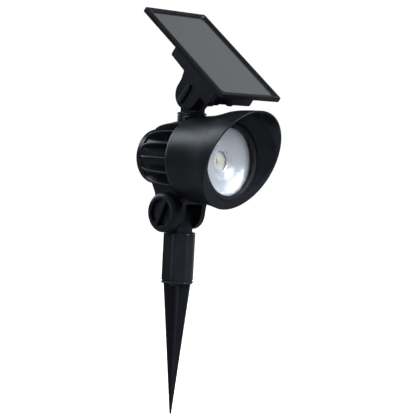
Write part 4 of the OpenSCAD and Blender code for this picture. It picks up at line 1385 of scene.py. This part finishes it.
# ---------------------------------------------------------------- operators
class SPOT_OT_stake(bpy.types.Operator):
    """Build the ground spike and its sleeve"""

    bl_idname = "spot.stake"
    bl_label = "Stake"

    def execute(self, context):
        build_spike()
        build_sleeve()
        return {"FINISHED"}


class SPOT_OT_rear_housing(bpy.types.Operator):
    """Build the finned rear housing with its yoke"""

    bl_idname = "spot.rear_housing"
    bl_label = "Rear housing"

    def execute(self, context):
        build_rear_housing()
        return {"FINISHED"}


class SPOT_OT_front_shell(bpy.types.Operator):
    """Build the shell and its hood"""

    bl_idname = "spot.front_shell"
    bl_label = "Front shell"

    def execute(self, context):
        build_front_shell()
        return {"FINISHED"}


class SPOT_OT_optics(bpy.types.Operator):
    """Build the reflector, lens, ring and emitter"""

    bl_idname = "spot.optics"
    bl_label = "Optics"

    def execute(self, context):
        build_optics()
        return {"FINISHED"}


class SPOT_OT_knobs(bpy.types.Operator):
    """Build both hinge knobs"""

    bl_idname = "spot.knobs"
    bl_label = "Knobs"

    def execute(self, context):
        build_hinge_knob()
        build_neck_knob()
        return {"FINISHED"}


class SPOT_OT_swivel(bpy.types.Operator):
    """Build the swivel post"""

    bl_idname = "spot.swivel"
    bl_label = "Swivel"

    def execute(self, context):
        build_swivel()
        return {"FINISHED"}


class SPOT_OT_panel_back(bpy.types.Operator):
    """Build the box under the panel and its button"""

    bl_idname = "spot.panel_back"
    bl_label = "Panel back"

    def execute(self, context):
        build_panel_back()
        return {"FINISHED"}


class SPOT_OT_panel_face(bpy.types.Operator):
    """Build the tray, cells and pane"""

    bl_idname = "spot.panel_face"
    bl_label = "Panel face"

    def execute(self, context):
        build_panel_face()
        return {"FINISHED"}


class SPOT_OT_fasteners(bpy.types.Operator):
    """Build the bolts, nuts and screws"""

    bl_idname = "spot.fasteners"
    bl_label = "Fasteners"

    def execute(self, context):
        build_fasteners()
        return {"FINISHED"}


class SPOT_OT_inner_parts(bpy.types.Operator):
    """Finish the parts inside the lamp and the box"""

    bl_idname = "spot.inner_parts"
    bl_label = "Inner parts"

    def execute(self, context):
        finish_inner_parts()
        return {"FINISHED"}


class SPOT_OT_stage(bpy.types.Operator):
    """Build the floor, lights and camera"""

    bl_idname = "spot.stage"
    bl_label = "Stage"

    def execute(self, context):
        build_stage()
        return {"FINISHED"}


OPERATORS = (SPOT_OT_stake, SPOT_OT_rear_housing, SPOT_OT_front_shell, SPOT_OT_optics, SPOT_OT_knobs,
    SPOT_OT_swivel,
             SPOT_OT_panel_back, SPOT_OT_panel_face, SPOT_OT_fasteners, SPOT_OT_inner_parts, SPOT_OT_stage)
SETTINGS = {"spot_sizes": SpotSizes, "spot_finish": SpotFinish, "spot_studio": SpotStudio}


class SPOT_PT_panel(bpy.types.Panel):
    """Sizes, colours and build steps of the garden light"""

    bl_idname = "SPOT_PT_panel"
    bl_label = "Garden light"
    bl_space_type = "VIEW_3D"
    bl_region_type = "UI"
    bl_category = "Garden light"

    def draw(self, context):
        for name, kind in SETTINGS.items():
            column = self.layout.column(align=True)
            for prop in kind.__annotations__:
                column.prop(getattr(context.scene, name), prop)
        for operator in OPERATORS:
            self.layout.operator(operator.bl_idname)


def register():
    for kind in (*SETTINGS.values(), *OPERATORS, SPOT_PT_panel):
        bpy.utils.register_class(kind)
    for name, kind in SETTINGS.items():
        setattr(bpy.types.Scene, name, PointerProperty(type=kind))


def unregister():
    for name in SETTINGS:
        delattr(bpy.types.Scene, name)
    for kind in (SPOT_PT_panel, *OPERATORS, *SETTINGS.values()):
        bpy.utils.unregister_class(kind)


def main():
    """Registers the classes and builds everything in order."""
    register()
    for operator in OPERATORS:
        area, name = operator.bl_idname.split(".")
        getattr(getattr(bpy.ops, area), name)()


if __name__ == "__main__":
    main()
